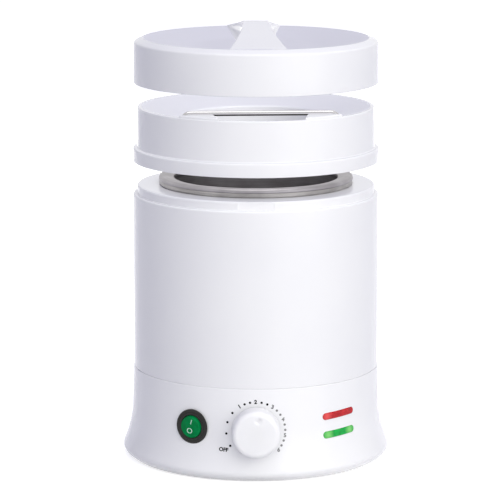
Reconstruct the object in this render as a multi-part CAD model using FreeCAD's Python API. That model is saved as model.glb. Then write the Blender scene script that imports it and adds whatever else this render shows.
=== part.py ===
import FreeCAD, Part

import os
from math import cos, radians, sin, sqrt, tan

from FreeCAD import Placement, Rotation, Vector

# Electric wax melter, about one litre, laid out apart: the lid is held up clear of the
# splash collar, and the collar clear of the heated body. Millimetres, +Z up, front
# towards -Y, origin on the table at the centre of the base.

# ---------------------------------------------------------------- driving dimensions

# Outer form of the body
body_radius = 80.0  # upright wall of the housing
body_wall = 2.5  # moulded wall of housing and skirt
seam_height = 60.0  # joint between the skirt and the housing
shoulder_height = 174.4  # ledge that carries the collar's flange
shoulder_rounding = 1.4
step_height = 5.7  # ring that stands on the shoulder
step_inset = 2.56  # how far the ring stands back from the wall
notch_width = 23.0  # locating notch in the front of the step ring
notch_depth = 1.0

# Base skirt
skirt_step = 0.3  # top of the skirt, out from the housing
flare_height = 22.0  # where the skirt starts to sweep out
flare_out = 1.2
flare_sweep = 76.0  # rounding of the sweep
toe_height = 5.0
toe_out = 6.7
toe_rounding = 4.0
sole_inset = 5.8  # underside of the toe
sole_height = 0.8  # the rubber ring lifts the skirt by this
lip_height = 4.0  # register lip that goes up into the housing
shelf_drop = 6.0  # underside of the shelf below the seam
shelf_thickness = 3.0
shelf_width = 22.3  # shelf, in from the face of the skirt
fit_gap = 0.3  # moulded part against moulded part
hole_gap = 0.2  # part that drops through a hole in a wall
seat_gap = 0.4  # flange in the recess that it is laid into
rib_root = 1.0  # how far a rib or boss is sunk into its wall

# Base plate, rubber ring and tie screws
plate_inset = 3.6  # plate inside the sole
plate_height = 1.6
plate_thickness = 2.5
foot_inset = 0.8
foot_width = 5.0
foot_groove = 1.0
tie_inset = 12.5  # tie screws, in from the wall of the housing
tie_angles = (68.0, 140.0, 220.0, 292.0)
tie_post_radius = 4.5
tie_screw_radius = 2.0
tie_head_radius = 3.8
tie_head_height = 1.1
tie_boss_length = 15.0
tie_end_gap = 4.0  # end of the screw to the end of its boss
tie_hole_gap = 2.0
tie_rib = 2.0
tie_rib_rise = 6.0
screw_gap = 0.05
vent_count = 14
vent_width = 3.0
vent_inner_radius = 24.0
vent_length = 15.0

# Heating well and wax pot
heat_space = 21.1  # between the well and the wall of the housing
well_wall = 1.3
well_floor_height = 78.0
well_floor = 2.0
well_flange_width = 4.2
well_flange = 3.1
well_clearance = 0.6  # well in the top of the housing
well_rounding = 4.0
pot_gap = 0.3
pot_wall = 1.4
pot_floor = 2.0
pot_floor_gap = 0.6
pot_lip_width = 4.5  # lip, out from the face of the well
pot_lip_height = 2.8
pot_lip_rounding = 2.2
pot_bead_width = 4.6  # raised outer part of the lip
pot_mouth_inset = 2.3  # mouth, in from the wall of the pot
pot_mouth_drop = 1.1
pot_rounding = 5.0

# Heater, insulation and heat shield
heater_rise = 22.0  # band over the floor of the well
heater_width = 42.0
heater_thickness = 2.4
heater_slot = 5.0
heater_ear = 7.0
heater_ear_thickness = 2.0
heater_ear_width = 14.0
heater_screw_radius = 2.0
heater_screw_head = 3.5
heater_nut_across_flats = 7.0
heater_nut_height = 2.4
heater_stud = 5.0
heater_stud_rise = 8.0
heater_stud_radius = 1.8
heater_stud_angle = 9.0
contact_gap = 0.05
sleeve_rise = 12.0  # sleeve over the floor of the well
sleeve_head_gap = 5.9  # sleeve under the top of the housing
sleeve_thickness = 9.5
sleeve_gap = 0.2
sleeve_opening = 30.0  # where the clamp and the leads come out
shield_overlap = 4.2  # shield on the shelf
shield_thickness = 1.0
shield_port_radius = 5.0
shield_port_inset = 14.9  # port inside the line of the well, for the heater's leads

# Controls on the front of the skirt
control_height = 33.7
knob_radius = 15.75
knob_front_radius = 15.1
knob_depth = 12.2
knob_rounding = 2.8
knob_gap = 0.8  # back of the knob off what is behind it
knob_face = 2.0  # front of the knob over the end of the shaft
knob_hollow_radius = 12.8
knob_hollow_depth = 6.6
knob_hub_radius = 5.6
knob_recess = 0.6  # end of the hub, in from the back
dimple_offset = 9.5
dimple_radius = 2.6
dimple_depth = 0.9
pointer_angle = 8.4  # clockwise from straight up
shaft_radius = 3.0
shaft_flat = 2.4
shaft_length = 32.0
running_gap = 0.05
bush_radius = 5.0
bush_flange_radius = 8.5
bush_flange = 4.0
nut_across_flats = 14.0
nut_thickness = 2.5
spot_face_radius = 9.5
spot_face_depth = 0.5
thermostat_width = 34.0
thermostat_blade_pitch = 18.0
thermostat_height = 34.0
thermostat_depth = 22.0
capillary_inset = 3.4  # capillary outlet, in from the thermostat's back

# Round rocker switch
switch_angle = -30.0
switch_roll = 13.0  # clockwise, seen from the front
bezel_radius = 11.25
bezel_thickness = 1.4
bezel_lift = 0.47  # seat of the bezel in front of the skirt
bezel_rounding = 1.0
bezel_seat_margin = 1.6
bezel_seat_depth = 5.0
bezel_body_radius = 9.9
bezel_snap_gap = 0.1
bezel_body_depth = 17.6
paddle_well_radius = 7.5
paddle_well_depth = 8.8
paddle_ball_radius = 7.3
paddle_pivot_depth = 1.5
paddle_crown = 2.2
paddle_root = 4.0
paddle_tilt = 7.0
rocker_pin_radius = 0.8
rocker_pin_inset = 0.4
terminal_pitch = 6.0
blade_width = 6.3
blade_thickness = 0.8
blade_length = 8.0

# Indicator windows
window_angle = 41.2
window_roll = -2.2  # clockwise, seen from the front
window_length = 26.7
window_height = 4.6
window_spacing = 12.0
lens_proud = 0.35
lens_thickness = 3.0
lens_gap = 0.1
lamp_radius = 1.5
lamp_pitch = 14.0
board_width = 31.0
board_height = 22.0
board_thickness = 1.6
board_setback = 10.1  # front of the board behind the skirt's face
board_post_radius = 2.2
board_post_pitch = 25.5
board_screw_radius = 1.0
board_screw_grip = 3.5
board_screw_head = 2.0

# Mains inlet at the back
inlet_inset = 3.13  # seat of the flange behind the skirt's face
inlet_flange_width = 48.0
inlet_flange_height = 22.4
inlet_flange = 2.5
inlet_corner = 4.0
inlet_backing = 3.0
inlet_body_width = 27.6
inlet_body_height = 19.8
inlet_body_depth = 19.0
inlet_socket_width = 24.4
inlet_socket_height = 16.6
inlet_socket_depth = 16.0
inlet_screw_pitch = 40.0
inlet_screw_radius = 1.5
inlet_screw_head = 2.8
inlet_screw_grip = 5.0
inlet_pin_width = 4.0
inlet_pin_thickness = 2.0
inlet_pin_length = 14.0
inlet_pin_pitch = 14.0
inlet_pin_drop = 1.5
inlet_earth_rise = 4.0

# Splash collar and scraper wire
collar_lift = 21.3  # height of the collar over its seat on the body
collar_height = 35.4
collar_flange_height = 9.0
collar_flange_out = 0.1  # flange, out from the wall of the housing
collar_ledge = 2.6
collar_taper = 0.6
collar_wall = 2.2
rim_width = 2.4
funnel_drop = 6.4
funnel_inset = 9.3  # opening of the funnel inside the wall of the pot
funnel_throat = 10.5
funnel_wall = 2.0
features_angle = 3.0  # the wire and pads sit slightly off centre
pad_inset = 1.3
pad_length = 21.9
pad_rise = 1.6
pad_width = 2.4  # pad beyond the wire
recess_half_width = 30.0
recess_half_width_front = 26.5
wire_radius = 1.65
wire_end_inset = 27.5  # ends of the wire, in from the rim
wire_margin = 1.5  # wire in front of the back of the pads
wire_height = 37.8
wire_bend = 5.0
wire_foot_depth = 7.0

# Lid
lid_lift = 35.3  # height of the lid over its closed place
lid_seat = 15.8  # bottom of the closed lid over the bottom of the collar
lid_inset = 0.7  # lid inside the flange of the collar
lid_taper = 0.3
lid_shoulder_height = 26.4
lid_height = 29.0
lid_wall = 1.5
lid_top = 2.0
lid_bevel = 5.6
dish_depth = 6.0
dish_slope = 33.1  # width of the rising part of the dish
dish_rise = 0.4
dish_sweep = 70.0
handle_angle = 1.2
handle_waist = 8.2
handle_end = 18.6
handle_rise = 11.1
handle_wall = 2.2
ridge_sweep = 40.0
stop_angles = (56.0, 146.0, 214.0, 304.0)
stop_width = 3.0

# Small parts under the well and on the base plate
bulb_radius = 2.6
bulb_length = 52.0
clip_width = 10.0
clip_thickness = 1.0
clip_length = 22.0
tube_radius = 0.9
tube_bend = 6.0
cutout_radius = 8.0
cutout_height = 6.5
cutout_place = (27.0, 14.0)
block_width = 30.0
block_depth = 17.0
block_height = 15.0
block_place = (-24.0, 22.0)
block_ways = 3
block_screw_radius = 2.7
block_screw_depth = 3.0
block_screw_height = 1.8
block_screw_slot = 0.8
lead_radius = 1.2
lead_bend = 4.5
lead_end_gap = 0.8  # solder or crimp between a lead and its blade
lead_run = 10.0  # straight run of a lead from a pin or into the block
lead_run_side = 6.0
lead_run_front = 12.0
lead_run_back = 19.0
lead_climb = 8.0
lead_drop = 6.0
earth_screw_radius = 2.0
earth_place = (26.0, 30.0)

# ------------------------------------------------------------------- derived places

shelf_height = seam_height - shelf_drop
skirt_top_radius = body_radius + skirt_step
flare_radius = skirt_top_radius + flare_out
toe_radius = flare_radius + toe_out
sole_radius = toe_radius - sole_inset
shelf_opening = skirt_top_radius - shelf_width
plate_radius = sole_radius - plate_inset
foot_outer_radius = plate_radius - foot_inset
foot_inner_radius = foot_outer_radius - foot_width
tie_reach = body_radius - tie_inset
well_radius = body_radius - heat_space
well_flange_radius = well_radius + well_flange_width
pot_lip_radius = well_radius + pot_lip_width
pot_bead_inner = pot_lip_radius - pot_bead_width
shield_radius = shelf_opening + shield_overlap
shield_port_back = well_radius - shield_port_inset
step_radius = body_radius - step_inset
heater_height = well_floor_height + heater_rise
sleeve_height = well_floor_height + sleeve_rise
step_top = shoulder_height + step_height
housing_inner = body_radius - body_wall
plate_top = plate_height + plate_thickness
shelf_top = shelf_height + shelf_thickness
well_top = step_top + well_flange
pot_radius = well_radius - well_wall - pot_gap
pot_inner = pot_radius - pot_wall
pot_mouth = pot_inner - pot_mouth_inset
pot_floor_height = well_floor_height + well_floor + pot_floor_gap
pot_top = well_top + pot_lip_height
collar_base = shoulder_height + collar_lift
collar_flange_radius = body_radius + collar_flange_out
collar_radius = collar_flange_radius - collar_ledge
collar_rim_radius = collar_radius - collar_taper
funnel_opening = pot_inner - funnel_inset
pad_front = collar_rim_radius - pad_inset
pad_back = pad_front - pad_length
wire_half_span = collar_rim_radius - wire_end_inset
pad_outer = wire_half_span + pad_width
wire_setback = pad_back + wire_margin
lid_base = collar_base + lid_seat + lid_lift
lid_radius = collar_flange_radius - lid_inset
lid_shoulder_radius = lid_radius - lid_taper
dish_radius = lid_shoulder_radius - lid_bevel
dish_flat = dish_radius - dish_slope
skirt_front = skirt_top_radius + (flare_radius - skirt_top_radius) * (
    (seam_height - control_height) / (seam_height - flare_height)
)
spot_face = skirt_front - spot_face_depth
inlet_plane = skirt_front - inlet_inset
bezel_standoff = skirt_front + bezel_lift
bezel_front = bezel_standoff + bezel_thickness
board_standoff = skirt_front - board_setback
paddle_pivot = bezel_front - paddle_pivot_depth
far = 400.0  # longer than anything it cuts

UP = Vector(0, 0, 1)
CENTRE = Vector(0, 0, 0)


# -------------------------------------------------------------------- shared shapes


def outline(corners):
    """Face in the XZ plane from corners (x, z) or (x, z, rounding)."""
    places = [Vector(corner[0], 0, corner[1]) for corner in corners]
    edges = []
    first = last = None
    for index, corner in enumerate(corners):
        here = places[index]
        start = end = here
        arc = None
        if len(corner) == 3:
            back = (places[index - 1] - here).normalize()
            ahead = (places[(index + 1) % len(corners)] - here).normalize()
            half = back.getAngle(ahead) / 2
            run = corner[2] / tan(half)
            start = here + back * run
            end = here + ahead * run
            inward = (back + ahead).normalize()
            middle = here + inward * (corner[2] / sin(half) - corner[2])
            arc = Part.Arc(start, middle, end).toShape()
        if last is not None:
            edges.append(Part.makeLine(last, start))
        else:
            first = start
        if arc:
            edges.append(arc)
        last = end
    edges.append(Part.makeLine(last, first))
    return Part.Face(Part.Wire(edges))


def turned(corners):
    """Solid of revolution about the Z axis."""
    return outline(corners).revolve(CENTRE, UP, 360)


def ring(inner, outer, low, high):
    solid = Part.makeCylinder(outer, high - low, Vector(0, 0, low))
    if inner:
        solid = solid.cut(Part.makeCylinder(inner, high - low, Vector(0, 0, low)))
    return solid


def block(x0, x1, y0, y1, z0, z1):
    return Part.makeBox(x1 - x0, y1 - y0, z1 - z0, Vector(x0, y0, z0))


def rod_y(radius, front, back, x=0.0, z=control_height):
    """Cylinder along Y, from distance front to distance back before the axis."""
    return Part.makeCylinder(
        radius, front - back, Vector(x, -front, z), Vector(0, 1, 0)
    )


def around(shape, angle):
    """Copy turned about the body's axis; the front is 0 and +X is 90 degrees."""
    copy = shape.copy()
    copy.rotate(CENTRE, UP, angle)
    return copy


def raised(shape, height):
    copy = shape.copy()
    copy.translate(Vector(0, 0, height))
    return copy


def polar(radius, angle, z=0.0):
    return Vector(radius * sin(radians(angle)), -radius * cos(radians(angle)), z)


def tube(points, radius, bend):
    """Round bar along straight runs joined by tangent arcs."""
    places = [Vector(*point) for point in points]
    edges = []
    last = places[0]
    for before, here, after in zip(places, places[1:], places[2:]):
        back = (before - here).normalize()
        ahead = (after - here).normalize()
        half = back.getAngle(ahead) / 2
        run = bend / tan(half)
        middle = here + (back + ahead).normalize() * (bend / sin(half) - bend)
        edges.append(Part.makeLine(last, here + back * run))
        edges.append(Part.Arc(here + back * run, middle, here + ahead * run).toShape())
        last = here + ahead * run
    edges.append(Part.makeLine(last, places[-1]))
    start = (places[1] - places[0]).normalize()
    section = Part.Wire(Part.makeCircle(radius, places[0], start))
    return Part.Wire(edges).makePipeShell([section], True, False)


def screw(radius, length, head_radius, head_height):
    """Pan-head screw, tip at -Z, head on top of z = 0, with a cross recess."""
    reach = head_radius * 0.6
    half_slot = head_radius * 0.13
    head = turned(
        [
            (0, 0),
            (head_radius, 0),
            (head_radius, head_height, head_height * 0.6),
            (0, head_height),
        ]
    )
    shank = Part.makeCylinder(radius, length, Vector(0, 0, -length))
    slot = block(
        -reach,
        reach,
        -half_slot,
        half_slot,
        head_height * 0.4,
        head_height * 2,
    )
    cross = slot.copy()
    cross.rotate(CENTRE, UP, 90)
    return head.fuse(shank).cut(slot.fuse(cross))


def hexagon(across_flats):
    radius = across_flats / 2 / cos(radians(30))
    turns = [radians(60 * k) for k in range(7)]
    corners = [Vector(radius * cos(a), radius * sin(a), 0) for a in turns]
    return Part.Face(Part.makePolygon(corners))


def placed(shape, position, direction):
    """Copy whose +Z points along direction, with its origin at position."""
    copy = shape.copy()
    copy.Placement = Placement(position, Rotation(UP, direction))
    return copy


# ---------------------------------------------------------------------- body shells


def skirt_corners(grow):
    """Outer line of the skirt, top to bottom, moved outwards by grow."""
    return [
        (skirt_top_radius + grow, seam_height),
        (flare_radius + grow, flare_height, flare_sweep),
        (toe_radius + grow, toe_height, toe_rounding),
        (sole_radius + grow, sole_height),
    ]


def skirt_form(grow=0.0):
    return turned(skirt_corners(grow) + [(0, sole_height), (0, seam_height)])


def pill(extra=0.0):
    """Slot-shaped prism along Y through the front of the skirt."""
    half = window_height / 2 + extra
    straight = window_length / 2 - window_height / 2
    front = toe_radius + window_height
    back = skirt_front - board_setback
    bar = block(
        -straight, straight, -front, -back, control_height - half, control_height + half
    )
    for side in (-1, 1):
        bar = bar.fuse(rod_y(half, front, back, x=side * straight))
    bar.rotate(Vector(0, 0, control_height), Vector(0, 1, 0), window_roll)
    return bar


def window(index, extra=0.0):
    return raised(pill(extra), window_spacing * (0.5 - index))


def base_skirt():
    inner = [
        (plate_radius + fit_gap, sole_height),
        (plate_radius + fit_gap, sole_height + body_wall),
        (sole_radius - 0.4 * body_wall, sole_height + body_wall),
        (toe_radius - 1.15 * body_wall, toe_height + 0.5 * body_wall, toe_rounding / 2),
        (flare_radius - body_wall, flare_height, flare_sweep),
        (skirt_top_radius - body_wall, seam_height),
    ]
    shell = turned(skirt_corners(0) + inner)
    lip_radius = housing_inner - fit_gap
    shell = shell.fuse(
        ring(lip_radius - body_wall, skirt_top_radius - rib_root, shelf_height, seam_height)
    )
    shell = shell.fuse(
        ring(lip_radius - body_wall, lip_radius, seam_height, seam_height + lip_height)
    )
    shell = shell.fuse(
        ring(shelf_opening, skirt_top_radius - rib_root, shelf_height, shelf_top)
    )
    for angle in tie_angles:
        post = Part.makeCylinder(
            tie_post_radius, shelf_height - plate_top, polar(tie_reach, angle, plate_top)
        )
        rib = block(
            -tie_rib / 2,
            tie_rib / 2,
            -skirt_front + rib_root,
            -tie_reach,
            plate_top + tie_rib_rise,
            shelf_height,
        )
        shell = shell.fuse(post).fuse(around(rib, angle))
    # flat seats for the switch, the lamp board and the inlet
    seat = rod_y(
        bezel_radius + bezel_seat_margin,
        bezel_standoff,
        bezel_standoff - bezel_seat_depth,
    )
    shell = shell.fuse(around(seat, switch_angle))
    for side in (-1, 1):
        post = rod_y(
            board_post_radius,
            skirt_front - rib_root,
            board_standoff,
            x=side * board_post_pitch / 2,
        )
        shell = shell.fuse(around(post, window_angle))
    backing = block(
        -inlet_flange_width / 2 - inlet_backing,
        inlet_flange_width / 2 + inlet_backing,
        inlet_plane - inlet_backing,
        far / 4,
        control_height - inlet_flange_height / 2 - inlet_backing,
        control_height + inlet_flange_height / 2 + inlet_backing,
    )
    shell = shell.fuse(backing.common(skirt_form()))
    # openings
    tools = [
        rod_y(bush_radius + hole_gap, far / 4, board_standoff),
        rod_y(spot_face_radius, far / 4, spot_face),
        around(
            rod_y(bezel_body_radius + bezel_snap_gap, far / 4, board_standoff),
            switch_angle,
        ),
        around(rod_y(bezel_radius + seat_gap, far / 4, bezel_standoff), switch_angle),
        around(window(0), window_angle),
        around(window(1), window_angle),
        block(
            -inlet_flange_width / 2 - seat_gap,
            inlet_flange_width / 2 + seat_gap,
            inlet_plane,
            far / 4,
            control_height - inlet_flange_height / 2 - seat_gap,
            control_height + inlet_flange_height / 2 + seat_gap,
        ),
        block(
            -inlet_body_width / 2 - hole_gap,
            inlet_body_width / 2 + hole_gap,
            inlet_plane - inlet_body_depth,
            far / 4,
            control_height - inlet_body_height / 2 - hole_gap,
            control_height + inlet_body_height / 2 + hole_gap,
        ),
    ]
    for side in (-1, 1):
        tools.append(
            around(
                rod_y(
                    inlet_screw_radius + screw_gap,
                    far / 4,
                    inlet_plane - inlet_screw_grip - rib_root,
                    x=side * inlet_screw_pitch / 2,
                ),
                180,
            )
        )
        tools.append(
            around(
                rod_y(
                    board_screw_radius + screw_gap,
                    board_standoff + board_screw_grip,
                    board_standoff - rib_root,
                    x=side * board_post_pitch / 2,
                ),
                window_angle,
            )
        )
    for angle in tie_angles:
        tools.append(
            Part.makeCylinder(
                tie_screw_radius + screw_gap,
                2 * (shelf_top - plate_top),
                polar(tie_reach, angle, 0),
            )
        )
    for tool in tools:
        shell = shell.cut(tool)
    return shell


def outer_housing():
    hole = well_radius + well_clearance
    shell = turned(
        [
            (body_radius, seam_height),
            (body_radius, shoulder_height, shoulder_rounding),
            (step_radius, shoulder_height),
            (step_radius, step_top, shoulder_rounding),
            (hole, step_top),
            (hole, step_top - body_wall),
            (step_radius - body_wall, step_top - body_wall),
            (step_radius - body_wall, shoulder_height - body_wall),
            (housing_inner, shoulder_height - body_wall),
            (housing_inner, seam_height),
        ]
    )
    notch = block(
        -notch_width / 2,
        notch_width / 2,
        -body_radius,
        -step_radius + notch_depth,
        shoulder_height,
        far,
    )
    shell = shell.cut(notch)
    for angle in tie_angles:
        boss = Part.makeCylinder(
            tie_post_radius, tie_boss_length, polar(tie_reach, angle, shelf_top)
        )
        rib = block(
            -tie_rib / 2,
            tie_rib / 2,
            -housing_inner - rib_root,
            -tie_reach,
            seam_height + lip_height + fit_gap,
            shelf_top + tie_boss_length,
        )
        shell = shell.fuse(boss).fuse(around(rib, angle))
    for angle in tie_angles:
        hole = Part.makeCylinder(
            tie_screw_radius + screw_gap,
            tie_boss_length - tie_hole_gap,
            polar(tie_reach, angle, shelf_top),
        )
        shell = shell.cut(hole)
    return shell


def base_plate():
    plate = ring(0, plate_radius, plate_height, plate_top)
    groove = ring(
        foot_inner_radius - lens_gap,
        foot_outer_radius + lens_gap,
        plate_height,
        plate_height + foot_groove,
    )
    plate = plate.cut(groove)
    for index in range(vent_count):
        slot = block(
            -vent_width / 2,
            vent_width / 2,
            -vent_inner_radius - vent_length,
            -vent_inner_radius,
            plate_height,
            plate_top,
        )
        plate = plate.cut(around(slot, 360 * index / vent_count))
    for angle in tie_angles:
        plate = plate.cut(
            Part.makeCylinder(
                tie_screw_radius + screw_gap,
                plate_thickness,
                polar(tie_reach, angle, plate_height),
            )
        )
    earth_hole = Part.makeCylinder(
        earth_screw_radius + screw_gap,
        plate_thickness,
        Vector(*earth_place, plate_height),
    )
    return plate.cut(earth_hole)


def foot_ring():
    return ring(foot_inner_radius, foot_outer_radius, 0, plate_height + foot_groove)


def base_screws():
    length = shelf_top + tie_boss_length - tie_end_gap - plate_height
    one = screw(tie_screw_radius, length, tie_head_radius, tie_head_height)
    return [
        placed(one, polar(tie_reach, angle, plate_height), Vector(0, 0, -1))
        for angle in tie_angles
    ]


# ------------------------------------------------------------- well, heater and pot


def heating_well():
    inner = well_radius - well_wall
    return turned(
        [
            (0, well_floor_height),
            (well_radius, well_floor_height, well_rounding),
            (well_radius, step_top),
            (well_flange_radius, step_top),
            (well_flange_radius, well_top, 0.3 * well_flange),
            (inner, well_top),
            (inner, well_floor_height + well_floor, well_rounding - well_wall),
            (0, well_floor_height + well_floor),
        ]
    )


def wax_pot():
    mouth_top = pot_top - pot_mouth_drop
    return turned(
        [
            (0, pot_floor_height),
            (pot_radius, pot_floor_height, pot_rounding),
            (pot_radius, well_top),
            (pot_lip_radius, well_top, 0.15 * pot_lip_height),
            (pot_lip_radius, pot_top, pot_lip_rounding),
            (pot_bead_inner, pot_top, 0.5 * pot_lip_rounding),
            (pot_mouth, mouth_top, 0.35 * pot_mouth_inset),
            (pot_mouth, mouth_top - pot_mouth_inset),
            (pot_inner, mouth_top - 2 * pot_mouth_inset),
            (pot_inner, pot_floor_height + pot_floor, pot_rounding - pot_wall),
            (0, pot_floor_height + pot_floor),
        ]
    )


def heater_ears():
    """The pair of clamp ears at the back of the band, as blocks."""
    middle = heater_height + heater_width / 2
    inner = well_radius + contact_gap
    ears = []
    for side in (-1, 1):
        near = side * heater_slot / 2
        away = near + side * heater_ear_thickness
        ears.append(
            block(
                min(near, away),
                max(near, away),
                inner + heater_thickness / 3,
                inner + heater_thickness + heater_ear,
                middle - heater_ear_width / 2,
                middle + heater_ear_width / 2,
            )
        )
    return ears


def band_heater():
    inner = well_radius + contact_gap
    band = ring(
        inner, inner + heater_thickness, heater_height, heater_height + heater_width
    )
    band = band.cut(
        block(-heater_slot / 2, heater_slot / 2, 0, far / 4, heater_height, far)
    )
    for ear in heater_ears():
        band = band.fuse(ear)
    reach = inner + heater_thickness + heater_ear / 2
    hole = Part.makeCylinder(
        heater_screw_radius + screw_gap,
        2 * heater_ear_width,
        Vector(-heater_ear_width, reach, heater_height + heater_width / 2),
        Vector(1, 0, 0),
    )
    band = band.cut(hole)
    # terminal studs either side of the clamp
    for side in (-1, 1):
        stud = Part.makeCylinder(
            heater_stud_radius,
            heater_stud + heater_thickness / 2,
            Vector(0, inner + heater_thickness / 2, heater_height + heater_stud_rise),
            Vector(0, 1, 0),
        )
        band = band.fuse(around(stud, side * heater_stud_angle))
    return band


def heater_screw():
    outer = heater_slot / 2 + heater_ear_thickness
    reach = well_radius + contact_gap + heater_thickness + heater_ear / 2
    length = 2 * outer + 1.6 * heater_nut_height
    one = screw(heater_screw_radius, length, heater_screw_head, heater_nut_height)
    height = heater_height + heater_width / 2
    nut = hexagon(heater_nut_across_flats).extrude(UP * heater_nut_height)
    bore = Part.makeCylinder(heater_screw_radius + screw_gap, heater_nut_height)
    nut = nut.cut(bore)
    return [
        placed(one, Vector(outer, reach, height), Vector(1, 0, 0)),
        placed(nut, Vector(-outer, reach, height), Vector(-1, 0, 0)),
    ]


def insulation_sleeve():
    inner = well_radius + contact_gap + heater_thickness + sleeve_gap
    top = shoulder_height - body_wall - sleeve_head_gap
    sleeve = ring(inner, inner + sleeve_thickness, sleeve_height, top)
    half = sleeve_opening / 2
    return sleeve.cut(block(-half, half, 0, far / 4, 0, far))


def heat_shield():
    shield = ring(0, shield_radius, shelf_top, shelf_top + shield_thickness)
    for y in (-capillary_reach(), shield_port_back):
        port = Part.makeCylinder(
            shield_port_radius, shield_thickness, Vector(0, y, shelf_top)
        )
        shield = shield.cut(port)
    return shield


def skirt_reach(height):
    """Distance from the axis to the skirt's outer face at a height."""
    section = outline(skirt_corners(0) + [(0, sole_height), (0, seam_height)])
    level = Part.makeLine(Vector(0, 0, height), Vector(far, 0, height))
    return max(vertex.X for vertex in level.common(section).Vertexes)


def knob_back():
    """Distance from the axis to the back of the knob, clear of the sweep and the nut."""
    sweep = skirt_reach(control_height - knob_radius)
    return max(sweep, spot_face + nut_thickness) + knob_gap


def bush_seat():
    """Distance from the axis to the thermostat's flange, just inside the skirt."""
    inner = skirt_front - body_wall
    return sqrt(inner**2 - bush_flange_radius**2) - lens_gap


def thermostat_back():
    """Distance from the axis to the back of the thermostat's case."""
    return bush_seat() - bush_flange - thermostat_depth


def capillary_reach():
    """How far in front of the axis the capillary rises from the thermostat."""
    return thermostat_back() + capillary_inset


# ------------------------------------------------------------------ small heat parts


def bulb_axis_height():
    return well_floor_height - clip_thickness / 2 - bulb_radius


def sensor_bulb():
    return Part.makeCylinder(
        bulb_radius,
        bulb_length,
        Vector(0, -bulb_length / 2, bulb_axis_height()),
        Vector(0, 1, 0),
    )


def bulb_clip():
    top = well_floor_height
    z = bulb_axis_height()
    plate = block(
        -clip_length / 2,
        clip_length / 2,
        -clip_width / 2,
        clip_width / 2,
        top - clip_thickness,
        top,
    )
    saddle = Part.makeCylinder(
        bulb_radius + screw_gap + clip_thickness,
        clip_width,
        Vector(0, -clip_width / 2, z),
        Vector(0, 1, 0),
    )
    hollow = Part.makeCylinder(
        bulb_radius + screw_gap,
        clip_width,
        Vector(0, -clip_width / 2, z),
        Vector(0, 1, 0),
    )
    above = block(-clip_length, clip_length, -clip_width, clip_width, top, far)
    return plate.fuse(saddle).cut(hollow).cut(above)


def capillary_tube():
    y = -capillary_reach()
    bottom = control_height + thermostat_height / 2
    z = bulb_axis_height()
    return tube(
        [(0, y, bottom), (0, y, z), (0, -bulb_length / 2, z)], tube_radius, tube_bend
    )


def thermal_cutout():
    x, y = cutout_place
    can = Part.makeCylinder(
        cutout_radius, cutout_height, Vector(x, y, well_floor_height - cutout_height)
    )
    for side in (-1, 1):
        can = can.fuse(
            block(
                x + side * cutout_radius / 2 - blade_thickness / 2,
                x + side * cutout_radius / 2 + blade_thickness / 2,
                y - blade_width / 2,
                y + blade_width / 2,
                well_floor_height - cutout_height - blade_length,
                well_floor_height - cutout_height,
            )
        )
    return can


# --------------------------------------------------------------- thermostat and knob


def thermostat_body():
    seat = bush_seat()
    front = seat - bush_flange
    box = block(
        -thermostat_width / 2,
        thermostat_width / 2,
        -front,
        -front + thermostat_depth,
        control_height - thermostat_height / 2,
        control_height + thermostat_height / 2,
    )
    flange = rod_y(bush_flange_radius, seat, front)
    bush = rod_y(bush_radius, knob_back(), seat)
    body = box.fuse(flange).fuse(bush)
    bore_back = knob_back() + knob_depth - knob_face - shaft_length
    body = body.cut(rod_y(shaft_radius + running_gap, far / 4, bore_back - running_gap))
    for side in (-1, 1):
        centre = side * thermostat_blade_pitch / 2
        body = body.fuse(
            block(
                centre - blade_thickness / 2,
                centre + blade_thickness / 2,
                -thermostat_back(),
                -thermostat_back() + blade_length,
                control_height - blade_width / 2,
                control_height + blade_width / 2,
            )
        )
    return body


def thermostat_nut():
    nut = hexagon(nut_across_flats).extrude(Vector(0, 0, nut_thickness))
    nut = placed(nut, Vector(0, -spot_face, control_height), Vector(0, -1, 0))
    return nut.cut(rod_y(bush_radius + screw_gap, far / 4, board_standoff))


def thermostat_shaft():
    tip = knob_back() + knob_depth - knob_face
    shaft = rod_y(shaft_radius, tip, tip - shaft_length)
    flat = block(
        -shaft_radius,
        shaft_radius,
        -far / 4,
        -knob_back() - knob_recess,
        control_height + shaft_flat,
        far,
    )
    return shaft.cut(flat)


def control_knob():
    back = turned(
        [
            (0, 0),
            (knob_radius, 0),
            (knob_front_radius, knob_depth, knob_rounding),
            (0, knob_depth),
        ]
    )
    hollow = ring(knob_hub_radius, knob_hollow_radius, 0, knob_hollow_depth)
    recess = ring(0, knob_hollow_radius, 0, knob_recess)
    sphere = (dimple_radius**2 + dimple_depth**2) / (2 * dimple_depth)
    sphere_lift = sqrt(sphere**2 - dimple_radius**2)
    knob = back.cut(hollow).cut(recess)
    bore = Part.makeCylinder(
        shaft_radius + running_gap / 2, knob_depth - knob_face + screw_gap
    )
    bore = bore.cut(
        block(
            -far / 8,
            far / 8,
            shaft_flat + running_gap / 2,
            far / 8,
            0,
            knob_depth,
        )
    )
    knob = knob.cut(bore)
    dimple = Part.makeSphere(
        sphere,
        Vector(
            dimple_offset * sin(radians(pointer_angle)),
            dimple_offset * cos(radians(pointer_angle)),
            knob_depth + sphere_lift,
        ),
    )
    knob = knob.cut(dimple)
    # lay it down: local +Z becomes -Y and local +Y becomes +Z
    knob.rotate(CENTRE, Vector(1, 0, 0), 90)
    knob.translate(Vector(0, -knob_back(), control_height))
    return knob


# ------------------------------------------------------------------------ the switch


def in_switch(shape):
    """Copy rolled about the axis of the switch, then turned to its place."""
    copy = shape.copy()
    copy.rotate(Vector(0, 0, control_height), Vector(0, 1, 0), switch_roll)
    return around(copy, switch_angle)


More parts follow.
